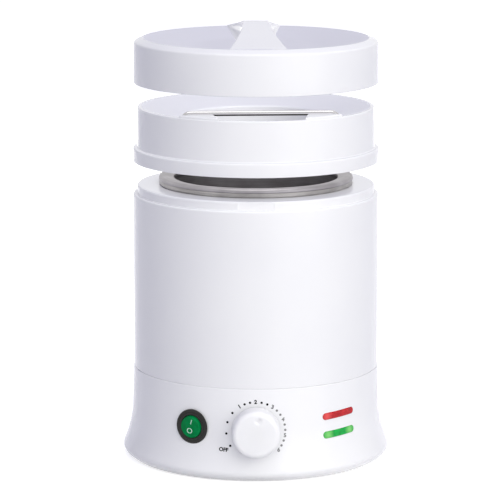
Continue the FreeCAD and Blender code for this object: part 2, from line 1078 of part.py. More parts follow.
def rocker_bezel():
    flange = turned(
        [
            (0, 0),
            (bezel_radius, 0),
            (bezel_radius, bezel_thickness, bezel_rounding),
            (0, bezel_thickness),
        ]
    )
    flange.rotate(CENTRE, Vector(1, 0, 0), 90)
    flange.translate(Vector(0, -bezel_standoff, control_height))
    body = flange.fuse(
        rod_y(bezel_body_radius, bezel_standoff, bezel_standoff - bezel_body_depth)
    )
    body = body.cut(
        rod_y(paddle_well_radius, far / 4, bezel_front - paddle_well_depth)
    )
    pin_hole = Part.makeCylinder(
        rocker_pin_radius + screw_gap / 2,
        2 * (bezel_body_radius - rocker_pin_inset),
        Vector(-bezel_body_radius + rocker_pin_inset, -paddle_pivot, control_height),
        Vector(1, 0, 0),
    )
    return in_switch(body.cut(pin_hole))


def rocker_pin():
    length = 2 * (bezel_body_radius - rocker_pin_inset - screw_gap)
    pin = Part.makeCylinder(
        rocker_pin_radius,
        length,
        Vector(-length / 2, -paddle_pivot, control_height),
        Vector(1, 0, 0),
    )
    return in_switch(pin)


def rocker_paddle():
    pivot = Vector(0, -paddle_pivot, control_height)
    ball = Part.makeSphere(paddle_ball_radius, pivot)
    slab = block(
        -bezel_radius,
        bezel_radius,
        -far,
        -paddle_pivot + paddle_root,
        control_height - bezel_radius,
        control_height + bezel_radius,
    )
    paddle = ball.common(slab)
    # shallow V across the front: one face for each end
    for side in (-1, 1):
        crown = paddle_pivot + paddle_crown
        wedge = block(
            -bezel_radius,
            bezel_radius,
            -crown - bezel_radius,
            -crown,
            control_height + min(0, side) * bezel_radius,
            control_height + max(0, side) * bezel_radius,
        )
        wedge.rotate(
            Vector(0, -crown, control_height),
            Vector(1, 0, 0),
            side * paddle_tilt,
        )
        paddle = paddle.cut(wedge)
    bore = Part.makeCylinder(
        rocker_pin_radius + running_gap,
        2 * bezel_radius,
        pivot - Vector(bezel_radius, 0, 0),
        Vector(1, 0, 0),
    )
    paddle = paddle.cut(bore)
    paddle.rotate(pivot, Vector(1, 0, 0), paddle_tilt)
    return in_switch(paddle)


def switch_terminals():
    back = bezel_standoff - bezel_body_depth
    blades = []
    for z in (-terminal_pitch, 0.0, terminal_pitch):
        blades.append(
            block(
                -blade_width / 2,
                blade_width / 2,
                -back,
                -back + blade_length,
                control_height + z - blade_thickness / 2,
                control_height + z + blade_thickness / 2,
            )
        )
    return [in_switch(blade) for blade in blades]


# --------------------------------------------------------------- indicators and inlet


def lens(index):
    bar = window(index, -lens_gap)
    front = bar.common(skirt_form(lens_proud))
    return around(front.cut(skirt_form(lens_proud - lens_thickness)), window_angle)


def red_lens():
    return lens(0)


def green_lens():
    return lens(1)


def indicator_lamps():
    inner = skirt_front - lens_thickness + lens_proud
    lamps = []
    for row in (-0.5, 0.5):
        for side in (-1, 1):
            front = sqrt(inner**2 - (lamp_pitch / 2 + lamp_radius) ** 2) - fit_gap
            lamps.append(
                around(
                    rod_y(
                        lamp_radius,
                        front,
                        board_standoff,
                        x=side * lamp_pitch / 2,
                        z=control_height + row * window_spacing,
                    ),
                    window_angle,
                )
            )
    return lamps


def indicator_board():
    board = block(
        -board_width / 2,
        board_width / 2,
        -board_standoff,
        -board_standoff + board_thickness,
        control_height - board_height / 2,
        control_height + board_height / 2,
    )
    for side in (-1, 1):
        board = board.cut(
            rod_y(
                board_screw_radius + screw_gap,
                board_standoff + rib_root,
                board_standoff - 2 * board_thickness,
                x=side * board_post_pitch / 2,
            )
        )
    return around(board, window_angle)


def board_screws():
    length = board_thickness + board_screw_grip
    one = screw(board_screw_radius, length, board_screw_head, 0.6 * board_screw_head)
    screws = []
    for side in (-1, 1):
        here = placed(
            one,
            Vector(
                side * board_post_pitch / 2,
                -board_standoff + board_thickness,
                control_height,
            ),
            Vector(0, 1, 0),
        )
        screws.append(around(here, window_angle))
    return screws


def mains_inlet():
    flange = block(
        -inlet_flange_width / 2,
        inlet_flange_width / 2,
        inlet_plane,
        inlet_plane + inlet_flange,
        control_height - inlet_flange_height / 2,
        control_height + inlet_flange_height / 2,
    )
    uprights = [edge for edge in flange.Edges if abs(edge.tangentAt(0).y) > 0.9]
    flange = flange.makeFillet(inlet_corner, uprights)
    body = block(
        -inlet_body_width / 2,
        inlet_body_width / 2,
        inlet_plane - inlet_body_depth,
        inlet_plane + inlet_flange / 2,
        control_height - inlet_body_height / 2,
        control_height + inlet_body_height / 2,
    )
    socket = block(
        -inlet_socket_width / 2,
        inlet_socket_width / 2,
        inlet_plane + inlet_flange - inlet_socket_depth,
        far / 4,
        control_height - inlet_socket_height / 2,
        control_height + inlet_socket_height / 2,
    )
    inlet = flange.fuse(body).cut(socket)
    for side in (-1, 1):
        inlet = inlet.cut(
            Part.makeCylinder(
                inlet_screw_radius + screw_gap,
                far / 4,
                Vector(side * inlet_screw_pitch / 2, inlet_plane, control_height),
                Vector(0, 1, 0),
            )
        )
    for pin in inlet_pins():
        inlet = inlet.cut(pin)
    return inlet


def inlet_pins():
    back = inlet_plane - inlet_body_depth - blade_length
    tip = inlet_plane + inlet_flange - inlet_socket_depth + inlet_pin_length
    pins = []
    for x, z in ((-0.5, 0), (0.5, 0), (0, 1)):
        centre_x = x * inlet_pin_pitch
        centre_z = control_height - inlet_pin_drop + z * inlet_earth_rise
        pins.append(
            block(
                centre_x - inlet_pin_thickness / 2,
                centre_x + inlet_pin_thickness / 2,
                back,
                tip,
                centre_z - inlet_pin_width / 2,
                centre_z + inlet_pin_width / 2,
            )
        )
    return pins


def inlet_screws():
    length = inlet_flange + inlet_screw_grip
    one = screw(inlet_screw_radius, length, inlet_screw_head, 0.57 * inlet_screw_head)
    return [
        placed(
            one,
            Vector(
                side * inlet_screw_pitch / 2, inlet_plane + inlet_flange, control_height
            ),
            Vector(0, 1, 0),
        )
        for side in (-1, 1)
    ]


# ------------------------------------------------------- terminal block and the leads


def block_way(way):
    """Place of one way of the terminal block along X."""
    return block_place[0] + (way - (block_ways - 1) / 2) * block_width / block_ways


def lead_entry_height():
    return plate_top + block_height / 2


def terminal_block():
    x, y = block_place
    body = block(
        x - block_width / 2,
        x + block_width / 2,
        y - block_depth / 2,
        y + block_depth / 2,
        plate_top,
        plate_top + block_height,
    )
    top = plate_top + block_height
    for way in range(block_ways):
        centre = block_way(way)
        well = Part.makeCylinder(
            block_screw_radius + fit_gap,
            block_screw_depth,
            Vector(centre, y, top - block_screw_depth),
        )
        entry = Part.makeCylinder(
            lead_radius + lens_gap,
            far,
            Vector(centre, y - far / 2, lead_entry_height()),
            Vector(0, 1, 0),
        )
        body = body.cut(well).cut(entry)
    return body


def block_screws():
    y = block_place[1]
    low = plate_top + block_height - block_screw_depth
    screws = []
    for way in range(block_ways):
        centre = block_way(way)
        head = Part.makeCylinder(
            block_screw_radius, block_screw_height, Vector(centre, y, low)
        )
        slot = block(
            centre - block_screw_radius,
            centre + block_screw_radius,
            y - block_screw_slot / 2,
            y + block_screw_slot / 2,
            low + block_screw_height / 2,
            low + block_screw_height,
        )
        screws.append(head.cut(slot))
    return screws


def earth_screw():
    x, y = earth_place
    length = plate_thickness + rib_root
    one = screw(earth_screw_radius, length, 1.8 * earth_screw_radius, plate_thickness)
    return placed(one, Vector(x, y, plate_top), UP)


def wiring():
    """Mains leads inside the base, and the two that climb to the band heater."""
    entry = lead_entry_height()
    y_back = block_place[1] + block_depth / 2
    y_front = block_place[1] - block_depth / 2
    pin_height = control_height - inlet_pin_drop
    pin_back = inlet_plane - inlet_body_depth - blade_length
    leads = []
    for side, way in ((-1, 0), (1, block_ways - 1)):
        x_pin = side * inlet_pin_pitch / 2
        leads.append(
            [
                (x_pin, pin_back, pin_height),
                (x_pin, pin_back - lead_run, pin_height),
                (block_way(way), y_back + lead_run, entry),
                (block_way(way), y_back, entry),
            ]
        )
    blade_tip = bezel_standoff - bezel_body_depth - blade_length
    blade = polar(blade_tip - lead_end_gap, switch_angle, control_height)
    leads.append(
        [
            (blade.x, blade.y, blade.z),
            (blade.x + lead_run_side, blade.y + lead_run_front, blade.z),
            (block_way(1), y_front - lead_run_front, entry),
            (block_way(1), y_front, entry),
        ]
    )
    stud_reach = well_radius + contact_gap + heater_thickness + heater_stud
    for side in (-1, 1):
        stud = polar(
            stud_reach + lead_radius,
            180 - side * heater_stud_angle,
            heater_height + heater_stud_rise + lead_end_gap,
        )
        port = side * 2 * lead_radius
        blade_x = side * thermostat_blade_pitch / 2
        blade_y = -thermostat_back() + blade_length + lead_end_gap
        leads.append(
            [
                (stud.x, stud.y, stud.z),
                (stud.x, stud.y, shelf_top + 2 * lead_climb),
                (port, shield_port_back, shelf_top + lead_climb),
                (port, shield_port_back, shelf_height - lead_drop),
                (blade_x, blade_y + lead_run_back, control_height + lead_climb),
                (blade_x, blade_y, control_height),
            ]
        )
    return [tube(points, lead_radius, lead_bend) for points in leads]


# -------------------------------------------------------------------- splash collar


def collar():
    rim_inner = collar_rim_radius - rim_width
    wall_inner = collar_radius - collar_wall
    seat_inner = step_radius + fit_gap
    throat = collar_height - funnel_drop
    form = turned(
        [
            (collar_flange_radius, 0),
            (collar_flange_radius, collar_flange_height, 1.2),
            (collar_radius, collar_flange_height),
            (collar_rim_radius, collar_height, 0.9),
            (rim_inner, collar_height),
            (funnel_opening, throat, 1.4),
            (funnel_opening, throat - funnel_throat),
            (funnel_opening + funnel_wall, throat - funnel_throat),
            (funnel_opening + funnel_wall, throat - funnel_wall),
            (rim_inner - 0.4, collar_height - funnel_wall - 0.4),
            (wall_inner, collar_height - funnel_wall - 1.6),
            (wall_inner, step_height + 1.4),
            (seat_inner, step_height + 1.0),
            (seat_inner, 0),
        ]
    )
    # pads that carry the wire, either side of the pouring recess
    pads = []
    for side in (-1, 1):
        corners = [
            Vector(side * recess_half_width, -pad_back, 0),
            Vector(side * pad_outer, -pad_back, 0),
            Vector(side * pad_outer, -pad_front, 0),
            Vector(side * recess_half_width_front, -pad_front, 0),
        ]
        face = Part.Face(Part.makePolygon(corners + corners[:1]))
        pad = face.extrude(Vector(0, 0, collar_height + pad_rise - throat))
        pads.append(raised(pad, throat))
    limit = ring(0, rim_inner + rim_width / 4, 0, far)
    under = turned(
        [
            (0, 0),
            (rim_inner, 0),
            (rim_inner, collar_height - funnel_wall),
            (funnel_opening, throat - funnel_wall),
            (0, throat - funnel_wall),
        ]
    )
    for pad in pads:
        shaped = pad.common(limit).cut(under)
        form = form.fuse(around(shaped, features_angle))
    # key that drops into the notch of the step ring
    key_gap = 0.6
    key = block(
        -notch_width / 2 + key_gap,
        notch_width / 2 - key_gap,
        -collar_flange_radius + 1,
        -step_radius + notch_depth - fit_gap,
        0.2,
        step_height - 0.4,
    )
    form = form.fuse(key)
    form = form.cut(around(bent_wire(wire_radius + screw_gap), features_angle))
    return raised(form, collar_base)


def bent_wire(radius):
    """Straight bar with its ends turned down into the pads."""
    low = wire_height - wire_foot_depth
    return tube(
        [
            (-wire_half_span, -wire_setback, low),
            (-wire_half_span, -wire_setback, wire_height),
            (wire_half_span, -wire_setback, wire_height),
            (wire_half_span, -wire_setback, low),
        ],
        radius,
        wire_bend,
    )


def scraper_wire():
    return raised(around(bent_wire(wire_radius), features_angle), collar_base)


# ------------------------------------------------------------------------------ lid


def hourglass(shrink, reach):
    """Plan of the handle: narrow in the middle, wide at both ends."""
    waist = handle_waist - shrink
    end = handle_end - shrink
    half = waist + (end - waist) * 0.33
    right = Part.BSplineCurve()
    right.interpolate(
        [
            Vector(end, -reach, 0),
            Vector(half, -reach / 2, 0),
            Vector(waist, 0, 0),
            Vector(half, reach / 2, 0),
            Vector(end, reach, 0),
        ]
    )
    right = right.toShape()
    left = right.copy()
    left.rotate(CENTRE, UP, 180)
    edges = [
        right,
        Part.makeLine(Vector(end, reach, 0), Vector(-end, reach, 0)),
        left,
        Part.makeLine(Vector(-end, -reach, 0), Vector(end, -reach, 0)),
    ]
    return Part.Face(Part.Wire(edges))


def roof(lower):
    """Two long slopes that meet in a rounded ridge across the middle of the lid."""
    ridge = lid_height + handle_rise - lower
    face = outline(
        [
            (-dish_radius, lid_height - lower),
            (0, ridge, ridge_sweep),
            (dish_radius, lid_height - lower),
            (dish_radius, 0),
            (-dish_radius, 0),
        ]
    )
    face.rotate(CENTRE, UP, 90)
    face.translate(Vector(-lid_radius, 0, 0))
    return face.extrude(Vector(2 * lid_radius, 0, 0))


def lid():
    inner = lid_radius - lid_wall
    dish = lid_height - dish_depth
    shell = turned(
        [
            (lid_radius, 0),
            (lid_shoulder_radius, lid_shoulder_height, 1.8),
            (dish_radius, lid_height, 1.5),
            (dish_flat, dish + dish_rise, dish_sweep),
            (0, dish),
            (0, dish - lid_top),
            (dish_flat, dish - lid_top + dish_rise, dish_sweep + lid_top),
            (dish_radius - lid_top / 2, lid_height - lid_top),
            (lid_shoulder_radius - lid_wall, lid_shoulder_height - lid_top),
            (inner, 0),
        ]
    )
    ridge_height = lid_height + handle_rise
    base = dish - lid_top
    below = turned(
        [
            (0, dish - lid_top),
            (dish_flat, dish - lid_top + dish_rise, dish_sweep + lid_top),
            (dish_radius - lid_top / 2, lid_height - lid_top),
            (lid_radius, lid_height - lid_top),
            (lid_radius, 0),
            (0, 0),
        ]
    )
    plan = hourglass(0, dish_radius)
    plan.translate(Vector(0, 0, base))
    grip = plan.extrude(UP * (ridge_height - base)).common(roof(0)).cut(below)
    core_plan = hourglass(handle_wall, dish_radius - 3 * handle_wall)
    core_plan.translate(Vector(0, 0, base - 2 * lid_top))
    core = core_plan.extrude(UP * (ridge_height - base)).common(roof(handle_wall))
    shell = shell.fuse(around(grip, handle_angle)).cut(around(core, handle_angle))
    # ribs inside the skirt that stop on the collar's rim
    rib_bottom = collar_height - lid_seat
    for angle in stop_angles:
        rib = block(
            -stop_width / 2,
            stop_width / 2,
            -inner - lid_wall / 2,
            -collar_rim_radius + rim_width - 0.5,
            rib_bottom,
            lid_shoulder_height - lid_top / 2,
        )
        shell = shell.fuse(around(rib, angle))
    return raised(shell, lid_base)


# ------------------------------------------------------------------------ all pieces

pieces = {
    "outer_housing": outer_housing,
    "base_skirt": base_skirt,
    "base_plate": base_plate,
    "foot_ring": foot_ring,
    "base_screws": base_screws,
    "heating_well": heating_well,
    "band_heater": band_heater,
    "heater_screw": heater_screw,
    "insulation_sleeve": insulation_sleeve,
    "heat_shield": heat_shield,
    "sensor_bulb": sensor_bulb,
    "bulb_clip": bulb_clip,
    "capillary_tube": capillary_tube,
    "thermal_cutout": thermal_cutout,
    "thermostat_body": thermostat_body,
    "thermostat_nut": thermostat_nut,
    "thermostat_shaft": thermostat_shaft,
    "control_knob": control_knob,
    "rocker_bezel": rocker_bezel,
    "rocker_pin": rocker_pin,
    "rocker_paddle": rocker_paddle,
    "switch_terminals": switch_terminals,
    "red_lens": red_lens,
    "green_lens": green_lens,
    "indicator_lamps": indicator_lamps,
    "indicator_board": indicator_board,
    "board_screws": board_screws,
    "mains_inlet": mains_inlet,
    "inlet_pins": inlet_pins,
    "inlet_screws": inlet_screws,
    "terminal_block": terminal_block,
    "block_screws": block_screws,
    "earth_screw": earth_screw,
    "wiring": wiring,
    "wax_pot": wax_pot,
    "collar": collar,
    "scraper_wire": scraper_wire,
    "lid": lid,
}

os.makedirs("parts", exist_ok=True)
for name, make in pieces.items():
    made = make()
    shape = Part.makeCompound(made) if isinstance(made, list) else made
    shape.exportStep(f"parts/{name}.step")
    box = shape.BoundBox
    print(
        f"{name:18} solids {len(shape.Solids)} valid {shape.isValid()}"
        f" volume {shape.Volume / 1000:8.2f} cm3"
        f" z {box.ZMin:6.1f} to {box.ZMax:6.1f}"
        f" y {box.YMin:6.1f} to {box.YMax:6.1f}"
    )
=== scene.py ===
from math import asin, cos, pi, radians, sin, sqrt, tan

import bmesh
import bpy
from mathutils import Matrix, Vector
from mathutils.bvhtree import BVHTree


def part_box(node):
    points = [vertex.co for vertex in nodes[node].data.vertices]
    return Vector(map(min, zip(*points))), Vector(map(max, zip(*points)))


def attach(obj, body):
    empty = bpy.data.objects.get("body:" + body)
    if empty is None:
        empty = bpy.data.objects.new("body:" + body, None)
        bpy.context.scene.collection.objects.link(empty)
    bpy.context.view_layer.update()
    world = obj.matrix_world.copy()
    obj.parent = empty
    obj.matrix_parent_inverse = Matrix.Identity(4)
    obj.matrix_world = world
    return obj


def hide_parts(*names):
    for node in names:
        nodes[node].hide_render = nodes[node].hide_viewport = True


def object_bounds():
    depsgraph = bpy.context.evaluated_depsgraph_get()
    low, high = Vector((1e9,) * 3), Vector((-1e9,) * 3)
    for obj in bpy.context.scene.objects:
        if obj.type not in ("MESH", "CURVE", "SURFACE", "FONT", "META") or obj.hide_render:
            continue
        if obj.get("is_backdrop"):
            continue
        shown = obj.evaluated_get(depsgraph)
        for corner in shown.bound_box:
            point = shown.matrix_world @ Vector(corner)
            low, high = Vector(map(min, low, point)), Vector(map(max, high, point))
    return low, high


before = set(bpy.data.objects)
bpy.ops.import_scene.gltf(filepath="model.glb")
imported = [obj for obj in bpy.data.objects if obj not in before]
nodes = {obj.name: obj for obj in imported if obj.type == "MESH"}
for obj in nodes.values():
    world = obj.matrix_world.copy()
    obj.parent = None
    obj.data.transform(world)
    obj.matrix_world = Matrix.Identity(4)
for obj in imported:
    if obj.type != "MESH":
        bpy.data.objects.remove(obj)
cad_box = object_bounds()
mm = 0.001

# ---- Rubber foot ring ----------------------------------------------------------------
# A soft black ring of moulded rubber, pressed into the groove under the base plate.
# It lifts the skirt off the table and keeps the heater from sliding. It is matt, with a
# fine grain from its mould and paler scuffs where it meets the table.

foot_inner = 73.0 * mm
foot_outer = 78.0 * mm
foot_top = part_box("foot_ring")[1].z
foot_black = (0.035, 0.035, 0.038, 1)
foot_scuff = (0.11, 0.11, 0.115, 1)
facets_around = 288


def rounded(corners, steps=8):
    """Closed outline of 2D points from corners (radius, height[, rounding])."""
    line = []
    for index, corner in enumerate(corners):
        here = Vector(corner[:2])
        if len(corner) < 3:
            line.append(here)
            continue
        back = (Vector(corners[index - 1][:2]) - here).normalized()
        ahead = (Vector(corners[(index + 1) % len(corners)][:2]) - here).normalized()
        half = back.angle(ahead) / 2
        centre = here + (back + ahead).normalized() * (corner[2] / sin(half))
        run = corner[2] / tan(half)
        start = (here + back * run - centre).normalized()
        end = (here + ahead * run - centre).normalized()
        for step in range(steps + 1):
            line.append(centre + start.slerp(end, step / steps) * corner[2])
    return line


def shaded(mesh, crease=32):
    """Faces point outwards and are smooth, with sharp edges above the crease angle."""
    shape = bmesh.new()
    shape.from_mesh(mesh)
    bmesh.ops.remove_doubles(shape, verts=shape.verts, dist=0.002 * mm)
    bmesh.ops.recalc_face_normals(shape, faces=shape.faces)
    shape.to_mesh(mesh)
    shape.free()
    mesh.shade_smooth()
    mesh.set_sharp_from_angle(angle=radians(crease))
    return mesh


def coated(piece, finish):
    piece.data.materials.clear()
    piece.data.materials.append(finish)


def as_piece(name, mesh, finish=None):
    piece = bpy.data.objects.new(name, mesh)
    bpy.context.scene.collection.objects.link(piece)
    if finish:
        coated(piece, finish)
    return piece


def turned(name, outline, finish=None, around=facets_around):
    """Solid turned about the Z axis from a closed outline; a point on the axis is a pole."""
    points = []
    rings = []
    for radius, height in outline:
        copies = around if radius > 0.001 * mm else 1
        rings.append([len(points) + k for k in range(copies)])
        for k in range(copies):
            turn = 2 * pi * k / around
            points.append((radius * sin(turn), -radius * cos(turn), height))
    faces = []
    for here, after in zip(rings, rings[1:] + rings[:1]):
        if len(here) == len(after) == 1:
            continue
        for k in range(around):
            corners = [
                here[k % len(here)], here[(k + 1) % around % len(here)],
                after[(k + 1) % around % len(after)], after[k % len(after)],
            ]
            faces.append(list(dict.fromkeys(corners)))
    mesh = bpy.data.meshes.new(name)
    mesh.from_pydata(points, [], faces)
    return as_piece(name, shaded(mesh), finish)


def fed(tree, node, values):
    """The node, with values or links from other nodes on its inputs."""
    for key, value in values.items():
        if isinstance(value, bpy.types.NodeSocket):
            tree.links.new(value, node.inputs[key])
        else:
            node.inputs[key].default_value = value
    return node


def add(tree, kind, inputs=None, **settings):
    """New shader node with its settings and inputs."""
    made = tree.nodes.new("ShaderNode" + kind)
    for name, value in settings.items():
        setattr(made, name, value)
    return fed(tree, made, inputs or {})


def calc(tree, operation, *values):
    return add(tree, "Math", dict(enumerate(values)), operation=operation).outputs[0]


def mixed(tree, share, first, second):
    """Colour that goes from the first to the second as the share grows."""
    return add(tree, "Mix", {0: share, 6: first, 7: second}, data_type="RGBA").outputs[2]


def ranged(tree, value, start=0.0, end=1.0):
    """Share from 0 to 1 as a value goes from start to end."""
    inputs = {"Value": value, "From Min": start, "From Max": end}
    return add(tree, "MapRange", inputs).outputs[0]


def noise(tree, place, scale, detail=2.0, rough=0.5):
    inputs = {"Vector": place, "Scale": scale, "Detail": detail, "Roughness": rough}
    return add(tree, "TexNoise", inputs).outputs["Fac"]


def bumped(tree, height, strength, distance):
    inputs = {"Height": height, "Strength": strength, "Distance": distance}
    return add(tree, "Bump", inputs).outputs["Normal"]


def effect(name, inputs, outputs):
    """Shader node group: its tree, its inputs as sockets, and its end node."""
    group = bpy.data.node_groups.new(name, "ShaderNodeTree")
    for sockets, side in ((inputs, "INPUT"), (outputs, "OUTPUT")):
        for socket, value in sockets.items():
            kind = "NodeSocketColor" if isinstance(value, tuple) else "NodeSocketFloat"
            made = group.interface.new_socket(socket, in_out=side, socket_type=kind)
            made.default_value = value
    given = group.nodes.new("NodeGroupInput").outputs
    return group, given, group.nodes.new("NodeGroupOutput")


def placed_effect(tree, group, *values):
    """Outputs of a node group that is put into a material, with values in its order."""
    made = tree.nodes.new("ShaderNodeGroup")
    made.node_tree = group
    return fed(tree, made, dict(enumerate(values))).outputs


surface_outputs = {"Color": (1, 1, 1, 1), "Roughness": 0.3, "Height": 0.0}


def surface_end(group, given, result, tone, dull, bright, relief):
    """Ends an effect: colour by a tone, polish that the relief breaks up, and the relief."""
    spread = calc(group, "MULTIPLY", relief, given["Polish Spread"])
    colour = mixed(group, tone, given[dull], given[bright])
    polish = calc(group, "ADD", spread, given["Polish"])
    fed(group, result, {"Color": colour, "Roughness": polish, "Height": relief})
    return group


def moulded_skin_effect():
    """Skin of a moulded part: slow tone drift, fine mould grain, and uneven polish."""
    group, given, result = effect(
        "moulded_skin",
        {
            "Light": (1, 1, 1, 1),
            "Shade": (1, 1, 1, 1),
            "Drift Scale": 30.0,
            "Grain Scale": 2500.0,
            "Polish": 0.3,
            "Polish Spread": 0.05,
        },
        surface_outputs,
    )
    place = add(group, "TexCoord").outputs["Object"]
    tone = ranged(group, noise(group, place, given["Drift Scale"], 3.0), 0.35, 0.65)
    grain = noise(group, place, given["Grain Scale"])
    return surface_end(group, given, result, tone, "Shade", "Light", grain)


def edge_wear_effect():
    """Mask of the outer edges, broken up as handling and packing rub them."""
    widths = {"Width": 0.6 * mm, "Break Up": 120.0}
    group, given, result = effect("edge_wear", widths, {"Edge": 0.0})
    flat = add(group, "NewGeometry").outputs["Normal"]
    soft = add(group, "Bevel", {"Radius": given["Width"]}, samples=4).outputs[0]
    match = add(group, "VectorMath", {0: flat, 1: soft}, operation="DOT_PRODUCT")
    turn = ranged(group, match.outputs["Value"], 1.0, 0.9)
    patches = noise(group, add(group, "TexCoord").outputs["Object"], given["Break Up"])
    fed(group, result, {"Edge": calc(group, "MULTIPLY", turn, patches)})
    return group


moulded_skin = moulded_skin_effect()
edge_wear = edge_wear_effect()


def blank(name):
    """New material, its node tree and its shader."""
    made = bpy.data.materials.new(name)
    made.use_nodes = True
    return made, made.node_tree, made.node_tree.nodes["Principled BSDF"]


def moulded(name, light, shade, edge, drift=30.0, grain=2500.0, polish=0.3, spread=0.05,
            edge_polish=0.3, bump=0.02 * mm, relief=0.25, **constants):
    """Material of a moulded part: its skin, rubbed edges, and values set on the shader."""
    made, tree, shader = blank(name)
    surface = placed_effect(tree, moulded_skin, light, shade, drift, grain, polish, spread)
    worn = placed_effect(tree, edge_wear)["Edge"]
    rough = add(tree, "Mix", {0: worn, 2: surface["Roughness"], 3: edge_polish})
    values = {
        "Base Color": mixed(tree, worn, surface["Color"], edge),
        "Roughness": rough.outputs[0],
        "Normal": bumped(tree, surface["Height"], relief, bump),
    }
    for socket, value in constants.items():
        values[socket.replace("_", " ")] = value
    fed(tree, shader, values)
    return made


foot_rubber = moulded(
    "foot_rubber", foot_scuff, foot_black, foot_scuff, drift=90.0, grain=1500.0,
    polish=0.72, spread=0.2, edge_polish=0.9, bump=0.06 * mm,
)
foot_ring = turned(
    "rubber_foot",
    rounded([
        (foot_inner, 0, 0.6 * mm), (foot_outer, 0, 0.6 * mm), (foot_outer, foot_top),
        (foot_inner, foot_top),
    ]),
    foot_rubber,
)
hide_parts("foot_ring")
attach(foot_ring, "housing")

# ---- Base plate and tie screws -------------------------------------------------------
# The plate is a flat disc of grey flame-retardant plastic with a ring of vent slots. It
# closes the skirt from below and carries the terminal block. Four long zinc-plated
# screws go up through it and the skirt's posts into the bosses of the housing.

base_grey = moulded(
    "base_grey", (0.33, 0.33, 0.345, 1), (0.27, 0.27, 0.285, 1), (0.42, 0.42, 0.43, 1),
    drift=45.0, grain=1800.0, polish=0.5, spread=0.2, edge_polish=0.4, bump=0.05 * mm,
)


def finished(finish, *names):
    """Gives construction parts that are kept as they are their material."""
    for name in names:
        for place in nodes[name].material_slots:
            place.link = "OBJECT"
            place.material = finish


def metal_effect():
    """Metal surface: lines along one direction, dull patches and a faint relief."""
    group, given, result = effect(
        "metal_surface",
        {
            "Bright": (1, 1, 1, 1),
            "Dull": (1, 1, 1, 1),
            "Around": 0.0,
            "Line Scale": 900.0,
            "Polish": 0.3,
            "Polish Spread": 0.1,
        },
        surface_outputs,
    )
    place = add(group, "TexCoord").outputs["Object"]
    x, y, z = add(group, "SeparateXYZ", {0: place}).outputs[:3]
    flat = add(group, "CombineXYZ", {0: x, 1: y}).outputs[0]
    reach = add(group, "VectorMath", {0: flat}, operation="LENGTH").outputs["Value"]
    slow = calc(group, "MULTIPLY", calc(group, "ARCTAN2", y, x), 2.0 * mm)
    spun = add(group, "CombineXYZ", {0: reach, 1: z, 2: slow}).outputs[0]
    along = add(group, "Mapping", {"Vector": place, "Scale": (0.04, 1, 1)}).outputs[0]
    ways = {0: given["Around"], 4: along, 5: spun}
    route = add(group, "Mix", ways, data_type="VECTOR").outputs[1]
    lines = noise(group, route, given["Line Scale"], 4.0, 0.7)
    patches = noise(group, place, 60.0, 3.0)
    tone = ranged(group, calc(group, "MULTIPLY", lines, patches), 0.1, 0.45)
    return surface_end(group, given, result, tone, "Dull", "Bright", lines)


metal_surface = metal_effect()


def metal(name, bright, dull, around=0.0, lines=900.0, polish=0.3, spread=0.15, relief=0.1):
    """Bare or plated metal; around is 1 for turned and spun parts, 0 for drawn ones."""
    made, tree, shader = blank(name)
    surface = placed_effect(tree, metal_surface, bright, dull, around, lines, polish, spread)
    fed(tree, shader, {
        "Base Color": surface["Color"],
        "Roughness": surface["Roughness"],
        "Normal": bumped(tree, surface["Height"], relief, 0.05 * mm),
        "Metallic": 1.0,
    })
    return made


screw_steel = metal("screw_steel", (0.72, 0.72, 0.7, 1), (0.5, 0.5, 0.48, 1), polish=0.25)
finished(base_grey, "base_plate")
finished(
    screw_steel, "base_screws", "heater_screw", "board_screws", "inlet_screws", "earth_screw"
)

# ---- Base skirt ----------------------------------------------------------------------
# The flared foot of the heater, injection moulded in glossy white plastic. It carries the
# knob, the switch and the windows, and its register lip goes up inside the housing. The
# tie screws clamp it between the plate and the housing.

wall = 2.5 * mm
skirt_top = 80.3 * mm
seam_height = 60.0 * mm
seam_edge = 0.45 * mm
lip_top = seam_height + 4.0 * mm
shelf_bottom = 54.0 * mm
shelf_top = 57.0 * mm
shelf_opening = 58.0 * mm
flare = (81.5 * mm, 22.0 * mm, 76.0 * mm)
toe = (88.2 * mm, 5.0 * mm, 4.0 * mm)
sole = (82.4 * mm, 0.8 * mm, 0.5 * mm)
plate_hole = 79.1 * mm
lip_radius = 77.2 * mm
control_height = 33.7 * mm
switch_angle = -30.0
switch_seat = 81.6 * mm
switch_hole = 10.0 * mm
window_angle = 41.2
window_roll = -2.2
window_half_length = 13.35 * mm
window_half_height = 2.3 * mm
window_spacing = 12.0 * mm
shaft_hole = 5.2 * mm
inlet_plane = 78.0 * mm
inlet_half = (24.4 * mm, 11.6 * mm)
shell_light = (0.83, 0.828, 0.85, 1)
shell_shade = (0.812, 0.81, 0.838, 1)
shell_edge = (0.86, 0.86, 0.875, 1)


def spin(angle):
    return Matrix.Rotation(radians(angle), 4, "Z")


def shift(x, y, z):
    return Matrix.Translation((x, y, z))


def outward(angle, reach=0.0, height=control_height, roll=0.0):
    """Place whose Z points out of the body at an angle from the front, and whose Y is up."""
    tipped = Matrix.Rotation(radians(90), 4, "X")
    return spin(angle) @ shift(0, -reach, height) @ tipped @ spin(-roll)


def moved(piece, matrix):
    piece.data.transform(matrix)
    return piece


def settled(piece, crease=32):
    """The piece's mesh becomes what its modifiers give, shaded again."""
    graph = bpy.context.evaluated_depsgraph_get()
    mesh = bpy.data.meshes.new_from_object(piece.evaluated_get(graph))
    piece.modifiers.clear()
    piece.data = mesh
    mesh.shade_smooth()
    mesh.set_sharp_from_angle(angle=radians(crease))
    return piece


def combined(piece, tool, operation="DIFFERENCE"):
    """One solid cut from, or joined to, another; the tool is used up."""
    change = piece.modifiers.new("change", "BOOLEAN")
    change.object = tool
    change.operation = operation
    change.solver = "EXACT"
    settled(piece)
    bpy.data.objects.remove(tool)
    return piece


